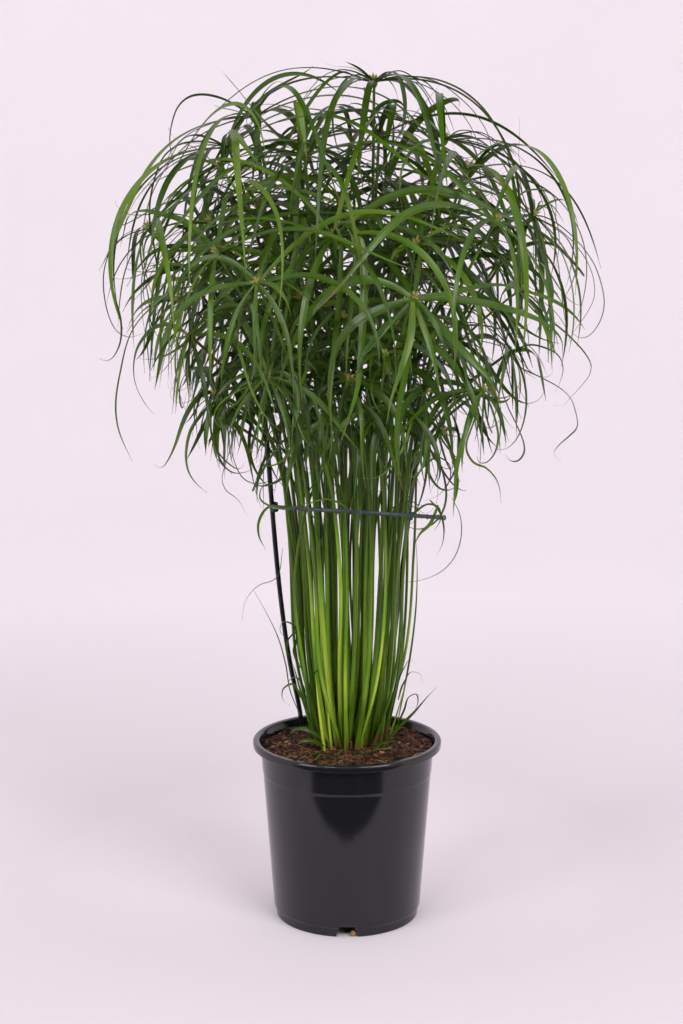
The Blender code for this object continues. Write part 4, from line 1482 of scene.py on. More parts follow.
# %% Stem finish
def stem_rind():
    rind = Finish("stem_rind", Specular_IOR_Level=0.26)
    tint, height, around = rind.value("tint"), rind.value("height"), rind.value("around")
    place = rind.place()
    seed = rind.times(tint, 90.0)
    fine = rind.join(rind.times(around, 16.0), rind.times(height, 4.0), seed)
    broad = rind.join(rind.times(around, 4.0), rind.times(height, 9.0), seed)
    lines, streaks = rind.grain(fine, 1.0, 2.0), rind.grain(broad, 1.0, 3.0)
    slow = rind.grain(rind.squeeze(place, (26, 26, 7)), 1.0, 3.0)
    shade = rind.plus(tint, rind.spread(slow, 0.3, 0.7, -0.32, 0.32))
    # Painted shade: the stems are painted darker higher up, under the crowns.
    tone_with_painted_shade = rind.calculate("SUBTRACT", shade, rind.spread(height, 0.14, 0.34, 0.0, 0.62))
    dark = rind.mix(
        rind.spread(tone_with_painted_shade, 0.0, 0.40), (0.026, 0.068, 0.004), (0.105, 0.235, 0.009))
    green = rind.mix(rind.spread(tone_with_painted_shade, 0.40, 0.95), dark, (0.470, 0.570, 0.058))
    shadowed = rind.spread(streaks, 0.46, 0.70, 0.0, 0.55)
    streaked = rind.mix(shadowed, green, (0.040, 0.095, 0.005))
    lined = rind.mix(rind.spread(lines, 0.4, 0.7, 0.0, 0.25), streaked, (0.33, 0.45, 0.04))
    edge = rind.plus(height, rind.spread(slow, 0.3, 0.7, -0.020, 0.026))
    sheath = rind.spread(edge, 0.000, 0.018, 0.75, 0.0)
    papery = rind.mix(streaks, (0.20, 0.085, 0.025), (0.055, 0.028, 0.010))
    rind.colour(rind.mix(sheath, lined, papery))
    rind.roughness(rind.spread(sheath, 0.0, 0.9, 0.34, 0.75))
    rind.bump(lines, 0.00025, 0.6)
    return rind.material


rind = stem_rind()
tint_dice = random.Random(77)
for number, (course, axis) in enumerate(zip(stems, axes), 1):
    stem, label = Bunch(), f"culm_{number:02d}"
    add_stem(stem, course, axis, STEM_RADIUS, stem_tint(course, tint_dice))
    show(label, stem.mesh(label), rind, "stem_green", f"stem_{number:02d}")
print(len(stems), "stems stand on their solids")

# %% [markdown]
# ## Leaf blades
# A blade is a strap of leaf, folded along its middle like a shallow V, thickest at the keel
# underneath and sharp at both edges. It is narrow at the hub, widest at a third of its
# length, and runs out to a point. It twists as it hangs, which is what makes some blades show
# their flat side and others only an edge. Six corners are enough for the outline: two edges,
# the groove, one point half way on each side of it, and the keel.

# %% Blade strands
BLADE_SKIN = 0.0008
BLADE_EDGE = 0.00025
ROOT_FOLD = 0.50
TIP_FOLD = 0.14
FINE_STATIONS = 46
BLADE_ACROSS = np.array([-1.0, 0.0, 1.0, 0.5, 0.0, -0.5])  # for each corner of the outline
BLADE_UNDER = np.array([0.0, 1.0, 0.0, 0.0, 0.0, 0.0])
BLADE_SHARP = 75
HUB_SPAN = (-0.0075, 0.0045)
HUB_THIN, HUB_SWELL = 0.0020, 0.0024
HUB_TINT = 0.9


def blade_outline(width):
    """The outline of a blade of a given greatest width, at any share of its length."""
    def outline(share):
        half = max(BLADE_EDGE, width / 2 * blade_width(share))
        fold = TIP_FOLD + (ROOT_FOLD - TIP_FOLD) * math.exp(-9 * share)
        rise = half * fold
        skin = min(BLADE_SKIN * (1 - 0.5 * share), half * 0.5)
        return [
            (-half, rise), (0.0, -skin), (half, rise),
            (half * 0.5, rise * 0.62), (0.0, -skin * 0.25), (-half * 0.5, rise * 0.62),
        ]
    return outline


def add_blade(bunch, course, side, width, twist, tint, dry):
    """Adds a blade that follows a course."""
    bunch.add(
        course, side, blade_outline(width), twist,
        across=BLADE_ACROSS, under=BLADE_UNDER, tint=tint, dry=dry,
    )


def hub_outline(share):
    """The outline of a hub, which is thickest at its middle."""
    return scaled(circle(12), HUB_THIN + HUB_SWELL * math.sin(math.pi * share) ** 0.7)


def add_hub(bunch, tip, axis):
    """The short thick end of a stem that the blades leave."""
    line = [tip + axis * height for height in np.linspace(*HUB_SPAN, 8)]
    bunch.add(
        line, axis.orthogonal(), hub_outline, across=0.5, under=0.0, tint=HUB_TINT, dry=0.0)


print("A broad blade has about", 6 * FINE_STATIONS, "points")


# %% [markdown]
# The leaf's finish reads what each point stores. Fresh and dark green are mixed by the blade's own
# tint and by slow noise. The tint is random, with painted light and shade in it: crowns high up and
# at the outside of the plant are painted paler, and those low down in the middle darker. Fine lines
# run lengthwise, because the noise is read along and across the blade and not in space. The midrib,
# the foot and the underside are paler, and some tips are dry and brown. Part of the light goes
# through: the blade that is lit from behind glows yellow green, which a plain green plastic never
# does.

# %% Leaf finish
LEAF_GLOW = 0.23  # share of the light that goes through a blade


def leaf_finish():
    leaf = Finish("leaf_blade", Specular_IOR_Level=0.38)
    along, across, tint, under, dry = (
        leaf.value(name) for name in ("along", "across", "tint", "under", "dry"))
    place = leaf.place()
    drift = leaf.join(leaf.times(along, 5.0), leaf.times(across, 7.0), leaf.times(tint, 60.0))
    lines = leaf.grain(drift, 1.0, 2.0)
    slow = leaf.grain(place, 11.0, 3.0)
    # Painted light and shade: the tint that picks dark or pale green holds each crown's painted
    # light, paler at the top and outside.
    shade = leaf.plus(tint, leaf.spread(slow, 0.3, 0.7, -0.22, 0.22))
    green = leaf.mix(
        leaf.spread(shade, 0.0, 0.75), (0.022, 0.050, 0.004), (0.072, 0.150, 0.006))
    fresh_and_lit = leaf.mix(leaf.spread(shade, 0.75, 1.2), green, (0.180, 0.280, 0.016))
    lined = leaf.mix(leaf.spread(lines, 0.35, 0.7, 0.0, 0.40), fresh_and_lit, (0.017, 0.040, 0.004))
    rib = leaf.spread(leaf.calculate("ABSOLUTE", across), 0.0, 0.16, 0.36, 0.0)
    ribbed = leaf.mix(rib, lined, (0.11, 0.22, 0.030))
    foot = leaf.spread(along, 0.0, 0.09, 0.70, 0.0)
    footed = leaf.mix(foot, ribbed, (0.21, 0.30, 0.045))
    backed = leaf.mix(leaf.times(under, 0.40), footed, (0.060, 0.125, 0.030))
    far = leaf.plus(along, leaf.spread(slow, 0.3, 0.7, -0.04, 0.04))
    brown = leaf.times(leaf.spread(far, 0.88, 0.98), dry)
    final = leaf.mix(brown, backed, (0.24, 0.13, 0.040))
    leaf.colour(final)
    leaf.roughness(leaf.spread(lines, 0.3, 0.7, 0.21, 0.33))
    leaf.bump(lines, 0.00022, 0.6)
    glow = leaf.mix(0.5, final, (0.24, 0.40, 0.008))
    through = leaf.node("BsdfTranslucent", {"Color": glow})
    both = leaf.node("MixShader", {0: LEAF_GLOW, 1: leaf.shader.outputs[0], 2: through})
    leaf.feed(leaf.nodes["Material Output"].inputs["Surface"], both)
    return leaf.material


green_leaf = leaf_finish()
print("The leaf's finish has", len(green_leaf.node_tree.nodes), "nodes")

# %% [markdown]
# Between its broad blades each crown has narrow ones, shorter and more twisted, and some thin
# wisps that end in a curl. They need no solid of their own. They follow the same pull of
# gravity, with two more turns: one that curls the tip over, and one that lets a wisp wander.
# A tip that curls is springy, so gravity pulls less on it. Low crowns are old and hang more
# limply, and no blade may hang before the wide star of leaves that faces the front.

# %% Narrow blades and wisps
SLIM_STEPS = 30
SLIM_TRIES = 14  # how often a blade is made shorter and more limp to fit the room
SLIM_SHORTER, SLIM_LIMPER = 0.88, 1.12
TIP_CURL_FROM = 0.55  # the share of a narrow blade's length where its tip begins to curl
SPRINGY_CURL = 55  # the curl of a tip that gravity hardly bends
SIDE_TURN = 1.1  # how far a blade may curl out of its upright plane
KINDS = {  # how many a crown has, and the ranges of one blade
    "broad": dict(count=0, length=(0.15, 0.36), width=(0.0066, 0.0108), rise=(0.05, 0.85),
                  limp=(4.0, 9.5), sway=4.5, curl=(-20, 32), twist=2.4, wander=5.0),
    "slim": dict(count=4, length=(0.11, 0.34), width=(0.0036, 0.0072), rise=(0.00, 1.00),
                 limp=(3.5, 11.0), sway=5.5, curl=(-28, 44), twist=2.8, wander=7.0),
    "wisp": dict(count=2, length=(0.09, 0.24), width=(0.0012, 0.0024), rise=(-0.20, 1.10),
                 limp=(2.0, 10.0), sway=7.0, curl=(-60, 95), twist=3.0, wander=12.0),
}


def free_course(root, aim, length, limp, sway, curl, wander, dice):
    """A blade's course whose tip curls over, and which may wander sideways."""
    points, heading = [root], aim.normalized()
    side = heading.cross(UP).normalized()
    step = length / SLIM_STEPS
    phase, often = dice.uniform(0, math.tau), dice.uniform(5, 11)
    side = Matrix.Rotation(dice.uniform(-SIDE_TURN, SIDE_TURN), 3, heading) @ side
    springy = min(0.9, abs(curl) / SPRINGY_CURL)
    for number in range(SLIM_STEPS):
        share = (number + 0.5) / SLIM_STEPS
        held = 1 - springy * max(0.0, share - TIP_CURL_FROM) / (1 - TIP_CURL_FROM)
        pull = DOWN * limp * (PULL + PULL_MORE * share) * held * step
        turn = sway * share + wander * math.sin(phase + often * share)
        heading = (heading + pull + heading.cross(DOWN) * turn * step).normalized()
        side = (side - heading * side.dot(heading)).normalized()
        over = curl * max(0.0, share - TIP_CURL_FROM) * 2.2 * step
        heading = Matrix.Rotation(over, 3, side) @ heading
        points.append(points[-1] + heading * step)
    return points


STAR = hubs[FRONT_CROWN - 1]  # the hub of the star that faces the front
STAR_ROOM = 0.135  # how far round it no other blade hangs before it
STAR_DEPTH = 0.035
OVER_BOX = 0.010  # how far a free blade may reach past the box of the solids
LOOSE_FROM, LOOSE_AT = 0.82, 0.67  # crowns hang more and more limply below the first height
LOOSE = dict(rise=-0.35, limp=1.2, curl=1.4, wander=0.9)  # what a fully loose crown adds


def has_room(point, shy):
    """Whether a free blade may pass here. A shy one keeps out of the front star's way."""
    if not in_room(point) or point.y < cad_low[1] - OVER_BOX:
        return False
    before = point.y < STAR.y + STAR_DEPTH
    return not (shy and before and math.hypot(point.x - STAR.x, point.z - STAR.z) < STAR_ROOM)


def slim_blade(bunch, tip, axis, facing, kind, dice, size, shade):
    """Adds one free blade or wisp to a crown, shortened until it fits the room."""
    out = spoke(axis, facing)
    root = tip + out * HUB_RADIUS * 0.45 + axis * dice.uniform(-0.002, 0.003)
    loose = clamped((LOOSE_FROM - tip.z) / (LOOSE_FROM - LOOSE_AT))
    aim = out + axis * (dice.uniform(*kind["rise"]) + LOOSE["rise"] * loose)
    length, width = (dice.uniform(*kind[key]) * size for key in ("length", "width"))
    limp = dice.uniform(*kind["limp"]) * (1 + LOOSE["limp"] * loose)
    curl = dice.uniform(*kind["curl"]) * (1 + LOOSE["curl"] * loose)
    wander = kind["wander"] * (1 + LOOSE["wander"] * loose)
    sway = dice.uniform(-1, 1) * kind["sway"]
    shy = (tip - STAR).length > 0.001
    for _ in range(SLIM_TRIES):
        course = free_course(root, aim, length, limp, sway, curl, wander, dice)
        if all(has_room(point, shy) for point in course[::3] + course[-1:]):
            break
        length, limp = length * SLIM_SHORTER, limp * SLIM_LIMPER
    tint = clamped(dice.gauss(shade, 0.25))
    dry = max(0.0, dice.uniform(-1.2, 1.0))
    twist = dice.uniform(-1, 1) * kind["twist"]
    add_blade(bunch, course, axis.cross(out), width, twist, tint, dry)


def fill_crown(bunch, tip, axis, dice, size, shade, **counts):
    """Adds the free blades of one crown. counts overrides how many of a kind it has."""
    for name, kind in KINDS.items():
        count = counts.get(name, kind["count"])
        first = dice.uniform(0, math.tau)
        for number in range(count):
            facing = first + math.tau * (number + dice.uniform(-0.35, 0.35)) / count
            slim_blade(bunch, tip, axis, facing, kind, dice, size, shade)


print("A crown has", sum(kind["count"] for kind in KINDS.values()), "narrow blades and wisps")

# %% [markdown]
# Now each crown can be put together: its hub, its eight broad blades on their solids' own
# courses, drawn with many more stations, and the narrow ones between them. The crowns at
# the top and at the edge are more open, as they are on the real plant.

# %% Crowns on their solids
WHORL_SEED = 900
EDGE_HEIGHT, EDGE_REACH = 0.93, 0.17  # crowns past these are open, with few narrow blades


def painted_crown_light(tip, least):
    """How pale a crown's green is painted: painted shade makes it darkest low down in the middle of
    the plant, and painted light paler at the top and outside.
    """
    return least + 0.35 * (tip.z - 0.6) / 0.45 + 0.95 * math.hypot(tip.x, tip.y)


for number, (tip, axis, blades) in enumerate(zip(hubs, axes, crowns), 1):
    crown, dice = Bunch(), random.Random(WHORL_SEED + number)
    shade = painted_crown_light(tip, 0.28)
    add_hub(crown, tip, axis)
    for blade, (course, width) in enumerate(blades):
        out = blade_root(number - 1, blade, axis)[1]
        line = smooth_course([tip + out * 0.0016, *course], FINE_STATIONS)
        tint = clamped(dice.gauss(shade, 0.22))
        dry = max(0.0, dice.uniform(-2.0, 1.0))
        add_blade(crown, line, axis.cross(out), width, dice.uniform(-1.5, 1.5), tint, dry)
    at_edge = tip.z > EDGE_HEIGHT or math.hypot(tip.x, tip.y) > EDGE_REACH
    fill_crown(crown, tip, axis, dice, 1.0, shade, slim=1 if at_edge else 4)
    label = f"whorl_{number:02d}"
    show(label, crown.mesh(label, BLADE_SHARP), green_leaf, "leaf_green", f"leaves_{number:02d}")
print(len(crowns), "crowns are dressed")

# %% [markdown]
# ## The rest of the clump
# The real clump has far more stems than were worth a solid each. The others are found in the
# same way, but quicker: their tips are spread by trying a few places and taking the one that
# is farthest from all the others, and a search tree tells whether a stem's course is free.

# %% More stems
MORE = 72
MORE_THICK = (0.0018, 0.0030)
MORE_CANDIDATES = 9
MORE_TRIES = 160
MORE_HEIGHTS = (0.62, 0.93, 0.75)  # of their tips: lowest, highest and most common
MORE_MIDDLE = 0.78  # the height where their tips reach farthest out
MORE_REACH = 0.195
MORE_RIGHT = 0.008  # how far to the right of the others the hoop holds them
SPARSE = 0.84  # the right side is thinner than the left
PICKED = (  # crowns that the photograph shows between the others: pixel across, down, depth
    (220, 167, -0.050), (394, 262, 0.020), (306, 434, -0.090), (271, 375, -0.120),
    (300, 300, -0.120), (440, 330, -0.110), (350, 380, -0.130), (180, 300, -0.060),
    (520, 290, -0.070), (398, 190, -0.030), (330, 398, -0.110), (388, 405, -0.100),
    (424, 392, -0.080), (362, 425, -0.080),
)


def reach_at(height):
    """How far out one of the other crowns may be at a height."""
    tall = 0.235 if height > MORE_MIDDLE else 0.285
    return MORE_REACH * math.sqrt(max(0.0, 1 - ((height - MORE_MIDDLE) / tall) ** 2))


def more_tips(dice):
    """Places for the other crowns, well spread through the room."""
    found = hubs + [seen_at(*pixel) for pixel in PICKED]
    while len(found) < len(hubs) + MORE:
        best = None
        for _ in range(MORE_CANDIDATES):
            height, turn = dice.triangular(*MORE_HEIGHTS), dice.uniform(0, math.tau)
            reach = reach_at(height) * math.sqrt(dice.uniform(0.03, 1))
            across = reach * math.cos(turn)
            spot = Vector((across * (SPARSE if across > 0 else 1), reach * math.sin(turn), height))
            room = min((spot - other).length for other in found)
            if best is None or room > best[0]:
                best = (room, spot)
        found.append(best[1])
    return found[len(hubs):]


def filling_tries(tip, nod, dice, tries):
    """Yields courses to a tip whose feet fill the whole clump, and not only its edge."""
    aim = math.atan2(tip.y - CLUMP.y, tip.x - CLUMP.x)
    for attempt in range(tries):
        turn = aim + dice.uniform(-1, 1) * (0.6 + 2.0 * attempt / tries)
        share = math.sqrt(dice.uniform(0.02, 1))
        base = CLUMP + towards(turn) * CLUMP_RADIUS * share
        turn += dice.uniform(-0.6, 0.6)
        share = min(1.08, share * dice.uniform(0.85, 1.5))
        hold = HELD + towards(turn) * HELD_RADIUS * share
        hold.x += MORE_RIGHT
        yield stem_course(base, hold, tip, nod, belly=3)


def places_on(course):
    """Evenly spaced places along a course."""
    return [point for point, _ in sampled([(point, 0.0) for point in course])]


def free_stem(tip, nod, dice, taken, thick):
    """The first course to a tip that stays clear of the stems that are there."""
    tree = kdtree.KDTree(len(taken))
    for index, point in enumerate(taken):
        tree.insert(point, index)
    tree.balance()
    best = None
    for course, axis in filling_tries(tip, nod, dice, MORE_TRIES):
        samples = places_on(course)[::2]
        closest = min(tree.find(point)[2] for point in samples)
        if best is None or closest > best[0]:
            best = (closest, course, axis, samples)
        if closest > thick + STEM_RADIUS + GAP:
            break
    return best


dice = random.Random(4100)
taken = [place for course in [*stems, *canes] for place in places_on(course)]
more_stems, more_crowns, worst = Bunch(), [], 1.0
for tip in more_tips(dice):
    thick = dice.uniform(*MORE_THICK)
    closest, course, axis, samples = free_stem(tip, dice.uniform(0, 0.3), dice, taken, thick)
    worst = min(worst, closest)
    taken += samples
    add_stem(more_stems, course, axis, thick, stem_tint(course, dice))
    more_crowns.append((tip, axis))
show("inner_culms", more_stems.mesh("inner_culms"), rind, "stem_green")
print(len(more_crowns), "more stems; the closest two are", round(1000 * worst, 1), "mm apart")

# %% Crowns of the other stems
MORE_IN_ONE = 7  # crowns joined in one piece
MORE_SEED = 2000
MORE_SIZE = (0.80, 1.05)
LOW_SIZE, LOW_AT, GROWTH = 0.80, 0.60, 1.6  # a low crown's size and height, and more per metre
OPEN_FROM, OPEN_RIGHT = 0.85, 0.11  # crowns above or right of these have fewer broad blades

for first in range(0, len(more_crowns), MORE_IN_ONE):
    whorls = Bunch()
    for number, (tip, axis) in enumerate(more_crowns[first:first + MORE_IN_ONE], first):
        dice = random.Random(MORE_SEED + number)
        add_hub(whorls, tip, axis)
        size = dice.uniform(*MORE_SIZE) * min(1.0, LOW_SIZE + (tip.z - LOW_AT) * GROWTH)
        many = 4 if tip.z > OPEN_FROM or tip.x > OPEN_RIGHT else 6
        fill_crown(whorls, tip, axis, dice, size, painted_crown_light(tip, 0.20), broad=many, slim=3)
    label = f"inner_whorls_{first // MORE_IN_ONE + 1}"
    show(label, whorls.mesh(label, BLADE_SHARP), green_leaf, "leaf_green")
    print(label, "has", len(bpy.data.meshes[label].polygons), "faces")

# %% [markdown]
# ## Blades that draw the outline
# Chance gives a crown that looks right but could be any plant's. What makes this one known again
# are the blades at its outline: the arches over the top, the long pale one that stands up at the
# left, the hooks at both sides, and a few that hang before the stems. Their ways were read off the
# photograph, as pixels. Each starts on its crown's hub, and its depth runs from the hub's to the
# one that is given for its tip. A blade that shows its edge keeps its first side, and one that
# shows its flat face has to turn, so the turn is given.

# %% Outline blades
LEADERS = (  # crown, depth of the tip and width in mm, turn, then the way across and down
    (1, -50, 5.5, 0.2, (355, 72, 338, 70, 322, 77, 308, 92, 298, 108)),
    (1, 50, 4.5, -0.3, (352, 76, 330, 80, 313, 90, 301, 106, 293, 125)),
    (1, -90, 8.0, 0.9, (360, 75, 350, 77, 341, 87, 335, 103, 333, 122, 336, 142, 342, 165)),
    (1, -150, 8.5, 0.2, (371, 82, 367, 97, 364, 117, 361, 140, 359, 165, 357, 190)),
    (1, -60, 6.5, 0.7, (388, 72, 398, 76, 403, 90, 405, 107, 403, 125, 398, 142)),
    (1, 20, 6.5, 0.5, (395, 71, 408, 74, 421, 85, 432, 100, 441, 115, 448, 130, 455, 150)),
    (1, -30, 5.0, 0.0, (400, 79, 414, 82, 424, 92, 432, 107, 438, 124, 441, 140)),
    (1, 40, 7.0, 0.6, (400, 76, 424, 78, 443, 85, 460, 98, 474, 112, 486, 130, 492, 148, 495,
        165)),
    (1, -20, 5.5, -0.5, (392, 75, 412, 77, 428, 84, 440, 99, 449, 117, 456, 137)),
    (1, 0, 4.5, 0.0, (405, 80, 430, 88, 452, 103, 468, 122, 478, 143, 484, 165, 489, 183)),
    (6, -20, 7.5, 0.5, (238, 107, 222, 99, 205, 95, 190, 97, 179, 106, 173, 120, 170, 137, 171,
        153, 175, 170)),
    (6, 30, 6.0, -0.4, (232, 117, 210, 124, 192, 132, 178, 143, 168, 157, 163, 172)),
    (6, 80, 3.0, 0.0, (258, 104, 265, 92, 274, 83, 281, 82, 288, 87)),
    (6, -50, 8.5, 0.3, (254, 104, 256, 103, 258, 118, 257, 140, 254, 165, 252, 188)),
    (7, -90, 8.5, 1.2, (208, 142, 190, 142, 175, 147, 163, 158, 156, 175, 151, 197, 150, 220, 154,
        245, 158, 270, 163, 290)),
    (7, 0, 4.0, 0.3, (205, 145, 185, 150, 168, 162, 152, 180, 137, 198, 128, 215)),
    (4, -60, 9.5, 0.9, (292, 147, 276, 134, 258, 115, 240, 92, 222, 71)),
    (4, -130, 9.0, 0.1, (302, 130, 298, 108, 297, 101, 300, 112, 304, 135, 307, 160)),
    (4, -100, 8.0, 0.5, (306, 125, 308, 108, 311, 120, 317, 145, 323, 168)),
    (17, -60, 9.0, 0.1, (384, 117, 391, 105, 393, 108, 389, 128, 385, 150, 383, 174)),
    (17, 20, 5.5, 0.2, (371, 120, 380, 106, 393, 101, 402, 104, 408, 118, 410, 136)),
    (13, 0, 6.0, 0.4, (433, 128, 422, 119, 412, 116, 402, 121, 393, 133, 387, 150)),
    (13, -20, 6.0, 0.6, (460, 134, 478, 132, 492, 138, 504, 150, 513, 165, 520, 182, 524, 202)),
    (13, 50, 5.0, 0.3, (462, 130, 485, 136, 502, 149, 517, 163, 530, 177, 539, 192, 544, 210, 546,
        230, 545, 252)),
    (13, 80, 4.5, 0.0, (465, 140, 490, 147, 515, 163, 536, 181, 547, 198, 555, 216, 559, 235, 558,
        256, 554, 272)),
    (8, -20, 7.0, 1.0, (138, 231, 126, 236, 115, 246, 110, 262, 111, 280, 116, 300, 121, 320, 121,
        339, 116, 353, 108, 361, 99, 358)),
    (8, 40, 4.5, 0.4, (135, 232, 119, 240, 109, 254, 104, 272, 104, 292, 108, 313, 116, 330, 129,
        337, 144, 333)),
    (8, -40, 7.5, 1.3, (142, 236, 141, 252, 144, 275, 149, 300, 151, 322, 160, 341)),
    (9, -70, 8.5, 0.9, (200, 234, 183, 221, 165, 215, 147, 211, 133, 213, 127, 220, 124, 232, 120,
        247)),
    (9, -90, 8.0, 1.0, (200, 268, 180, 284, 160, 300, 144, 315, 133, 329, 126, 347, 121, 370, 117,
        392, 116, 412, 120, 434, 132, 461)),
    (11, -50, 6.5, 0.8, (172, 325, 154, 328, 141, 342, 135, 357, 134, 376, 138, 391, 146, 405,
        154, 414)),
    (9, -100, 6.0, 0.8, (195, 270, 172, 293, 156, 315, 148, 335, 148, 352, 151, 381)),
    (11, -100, 8.0, 0.5, (190, 350, 187, 366, 188, 384, 189, 399, 185, 411)),
    (12, -20, 7.0, 0.9, (214, 394, 203, 394, 194, 402, 187, 413, 181, 427, 175, 445, 168, 460,
        161, 468, 154, 464)),
    (12, -40, 8.5, 1.0, (220, 405, 211, 415, 203, 428, 195, 444, 186, 461)),
    (12, 0, 4.5, 0.5, (214, 404, 200, 416, 190, 432, 186, 453, 188, 470, 195, 482, 207, 493)),
    (12, -30, 6.0, 1.2, (226, 412, 217, 428, 216, 446, 224, 459, 238, 469, 246, 462)),
    (12, -20, 5.0, 0.9, (232, 408, 222, 422, 218, 440, 220, 460, 232, 472, 246, 472, 255, 466)),
    (12, -50, 4.0, 0.8, (232, 440, 226, 462, 222, 478, 226, 490, 238, 500, 248, 517)),
    (12, 20, 5.0, 1.4, (234, 430, 232, 452, 240, 474, 252, 483, 266, 482, 277, 476)),
    (18, 20, 4.5, 0.6, (546, 222, 560, 230, 576, 245, 588, 263, 594, 281, 594, 298, 587, 313, 578,
        326, 570, 337, 566, 346)),
    (18, -30, 5.5, 0.7, (545, 217, 562, 227, 580, 244, 594, 264, 602, 287, 604, 305, 600, 321,
        591, 334, 581, 338, 572, 333)),
    (18, 60, 5.0, 0.4, (548, 224, 564, 235, 573, 250, 576, 267, 572, 283, 565, 297, 560, 306)),
    (18, -50, 9.0, 0.9, (540, 232, 545, 255, 548, 285, 551, 318, 551, 345, 552, 369)),
    (18, -80, 7.0, 0.7, (536, 232, 541, 250, 548, 272, 552, 292, 549, 310, 540, 325, 535, 336)),
    (18, -100, 9.5, 0.4, (524, 228, 521, 247, 520, 268, 521, 292, 519, 318, 514, 335)),
    (18, -140, 9.5, 1.1, (520, 217, 505, 224, 488, 237, 470, 252, 452, 268, 438, 282)),
    (18, 40, 3.0, 0.0, (540, 206, 550, 210, 560, 218)),
    (16, -50, 4.5, 0.6, (512, 252, 520, 290, 535, 312, 556, 325, 575, 342, 588, 358, 591, 371,
        583, 384, 571, 397, 561, 407, 554, 405)),
    (19, -20, 5.0, 0.6, (520, 367, 540, 377, 560, 388, 571, 399, 576, 414, 577, 427, 569, 436,
        558, 446, 554, 454, 562, 462)),
    (19, -50, 7.5, 0.9, (525, 350, 536, 356, 540, 369, 543, 385, 546, 401)),
    (19, 30, 3.5, 0.3, (530, 345, 550, 350, 560, 358, 563, 370, 560, 382, 555, 393)),
    (19, -30, 5.5, 0.8, (502, 385, 507, 405, 516, 424, 523, 441, 524, 452, 519, 460, 511, 461,
        505, 454)),
    (20, -80, 4.5, 0.6, (490, 405, 495, 420, 498, 436, 495, 452, 487, 462, 479, 462, 477, 455)),
    (20, -50, 4.0, 0.5, (474, 420, 466, 446, 473, 462, 486, 468, 496, 479, 500, 491, 501, 503)),
    (20, -100, 7.0, 0.9, (472, 415, 463, 440, 457, 465, 455, 490, 453, 517)),
    (2, -230, 8.0, 0.6, (404, 311, 386, 327, 372, 342, 362, 358, 354, 385)),
    (2, -230, 7.0, 0.5, (420, 318, 428, 340, 435, 365, 440, 393)),
    (3, -215, 9.5, 0.5, (350, 226, 361, 243, 364, 275, 363, 312, 361, 350, 358, 385, 350, 414,
        339, 447)),
    (3, -195, 7.5, 0.8, (342, 222, 352, 232, 357, 256, 354, 286, 350, 316, 347, 346, 346, 382)),
    (3, -200, 8.0, 0.7, (322, 226, 308, 232, 297, 250, 291, 275, 288, 300, 280, 330)),
    (21, -190, 6.0, 0.8, (280, 372, 292, 380, 298, 398, 297, 420, 288, 436)),
    (21, -160, 7.0, 0.6, (285, 366, 298, 384, 306, 410, 309, 440, 305, 470)),
    (21, -150, 5.5, 1.0, (290, 370, 308, 391, 320, 420, 324, 450, 319, 482)),
    (20, -130, 7.0, 0.7, (455, 393, 437, 407, 426, 430, 421, 458, 425, 487)),
    (20, -120, 5.0, 1.1, (459, 399, 443, 419, 435, 445, 438, 470, 430, 494)),
    (3, -190, 6.5, 0.8, (337, 228, 341, 248, 339, 300, 334, 350, 330, 400, 332, 440, 327, 470)),
    (2, -215, 7.5, 0.4, (411, 316, 409, 345, 404, 380, 398, 415, 396, 450, 401, 480)),
    (21, -170, 5.0, 1.2, (258, 380, 250, 395, 249, 412, 255, 428, 266, 433)),
)


def led_blade(bunch, crown, tip_depth, width, turn, way, dice):
    """Adds a blade that leads from a crown's hub along a way in the picture."""
    hub, axis = hubs[crown - 1], axes[crown - 1]
    deeper, spots = tip_depth / 1000 - hub.y, grouped(way, 2)
    knots = [
        seen_at(across, down, hub.y + deeper * (k / len(spots)) ** 0.8)
        for k, (across, down) in enumerate(spots, 1)
    ]
    course = smooth_course(led_course(hub, knots), FINE_STATIONS)
    out = knots[0] - hub
    out = (out - axis * out.dot(axis)).normalized()
    tint, dry = clamped(dice.gauss(0.5, 0.2)), max(0.0, dice.uniform(-1, 1))
    add_blade(bunch, course, axis.cross(out), width / 1000, turn, tint, dry)


outline_blades, dice = Bunch(), random.Random(303)
for leader in LEADERS:
    led_blade(outline_blades, *leader, dice)
show("outline_blades", outline_blades.mesh("outline_blades", BLADE_SHARP), green_leaf,
     "leaf_green")
print(len(LEADERS), "blades draw the outline")

# %% [markdown]
# ## The foot of the clump
# Young shoots come up between the stems: pointed green spears a few centimetres tall. There
# are also brown stubs of stems that were cut, and thin tendrils of leaf that curl round the
# stems and the hoop or lie on the soil. The spears stand where chance puts them round the
# clump. The tendrils that the photograph shows were read off it, like the outline's blades.

# %% Shoots and stubs
SHOOTS = 16
SHOOT_AT = (0.75, 1.22)  # over the clump's radius
SHOOT_HEIGHT = (0.025, 0.110)
SHOOT_LEAN = (0.0, 0.35)
SHOOT_RADIUS = (0.0013, 0.0027)
SHOOT_TINT = (0.2, 0.9)
STUBS = 9
STUB_AT = (0.9, 1.25)
STUB_HEIGHT = (0.006, 0.018)
STUB_RADIUS = (0.0018, 0.0028)


def foot_spot(dice, inner, outer):
    """A place on the soil at the edge of the clump, and the way out from there."""
    turn, reach = dice.uniform(0, math.tau), CLUMP_RADIUS * dice.uniform(inner, outer)
    spot = CLUMP + towards(turn) * reach
    out = Vector((spot.x - CLUMP.x, spot.y - CLUMP.y, 0)).normalized()
    return Vector((spot.x, spot.y, rough_height(spot.x, spot.y))), out


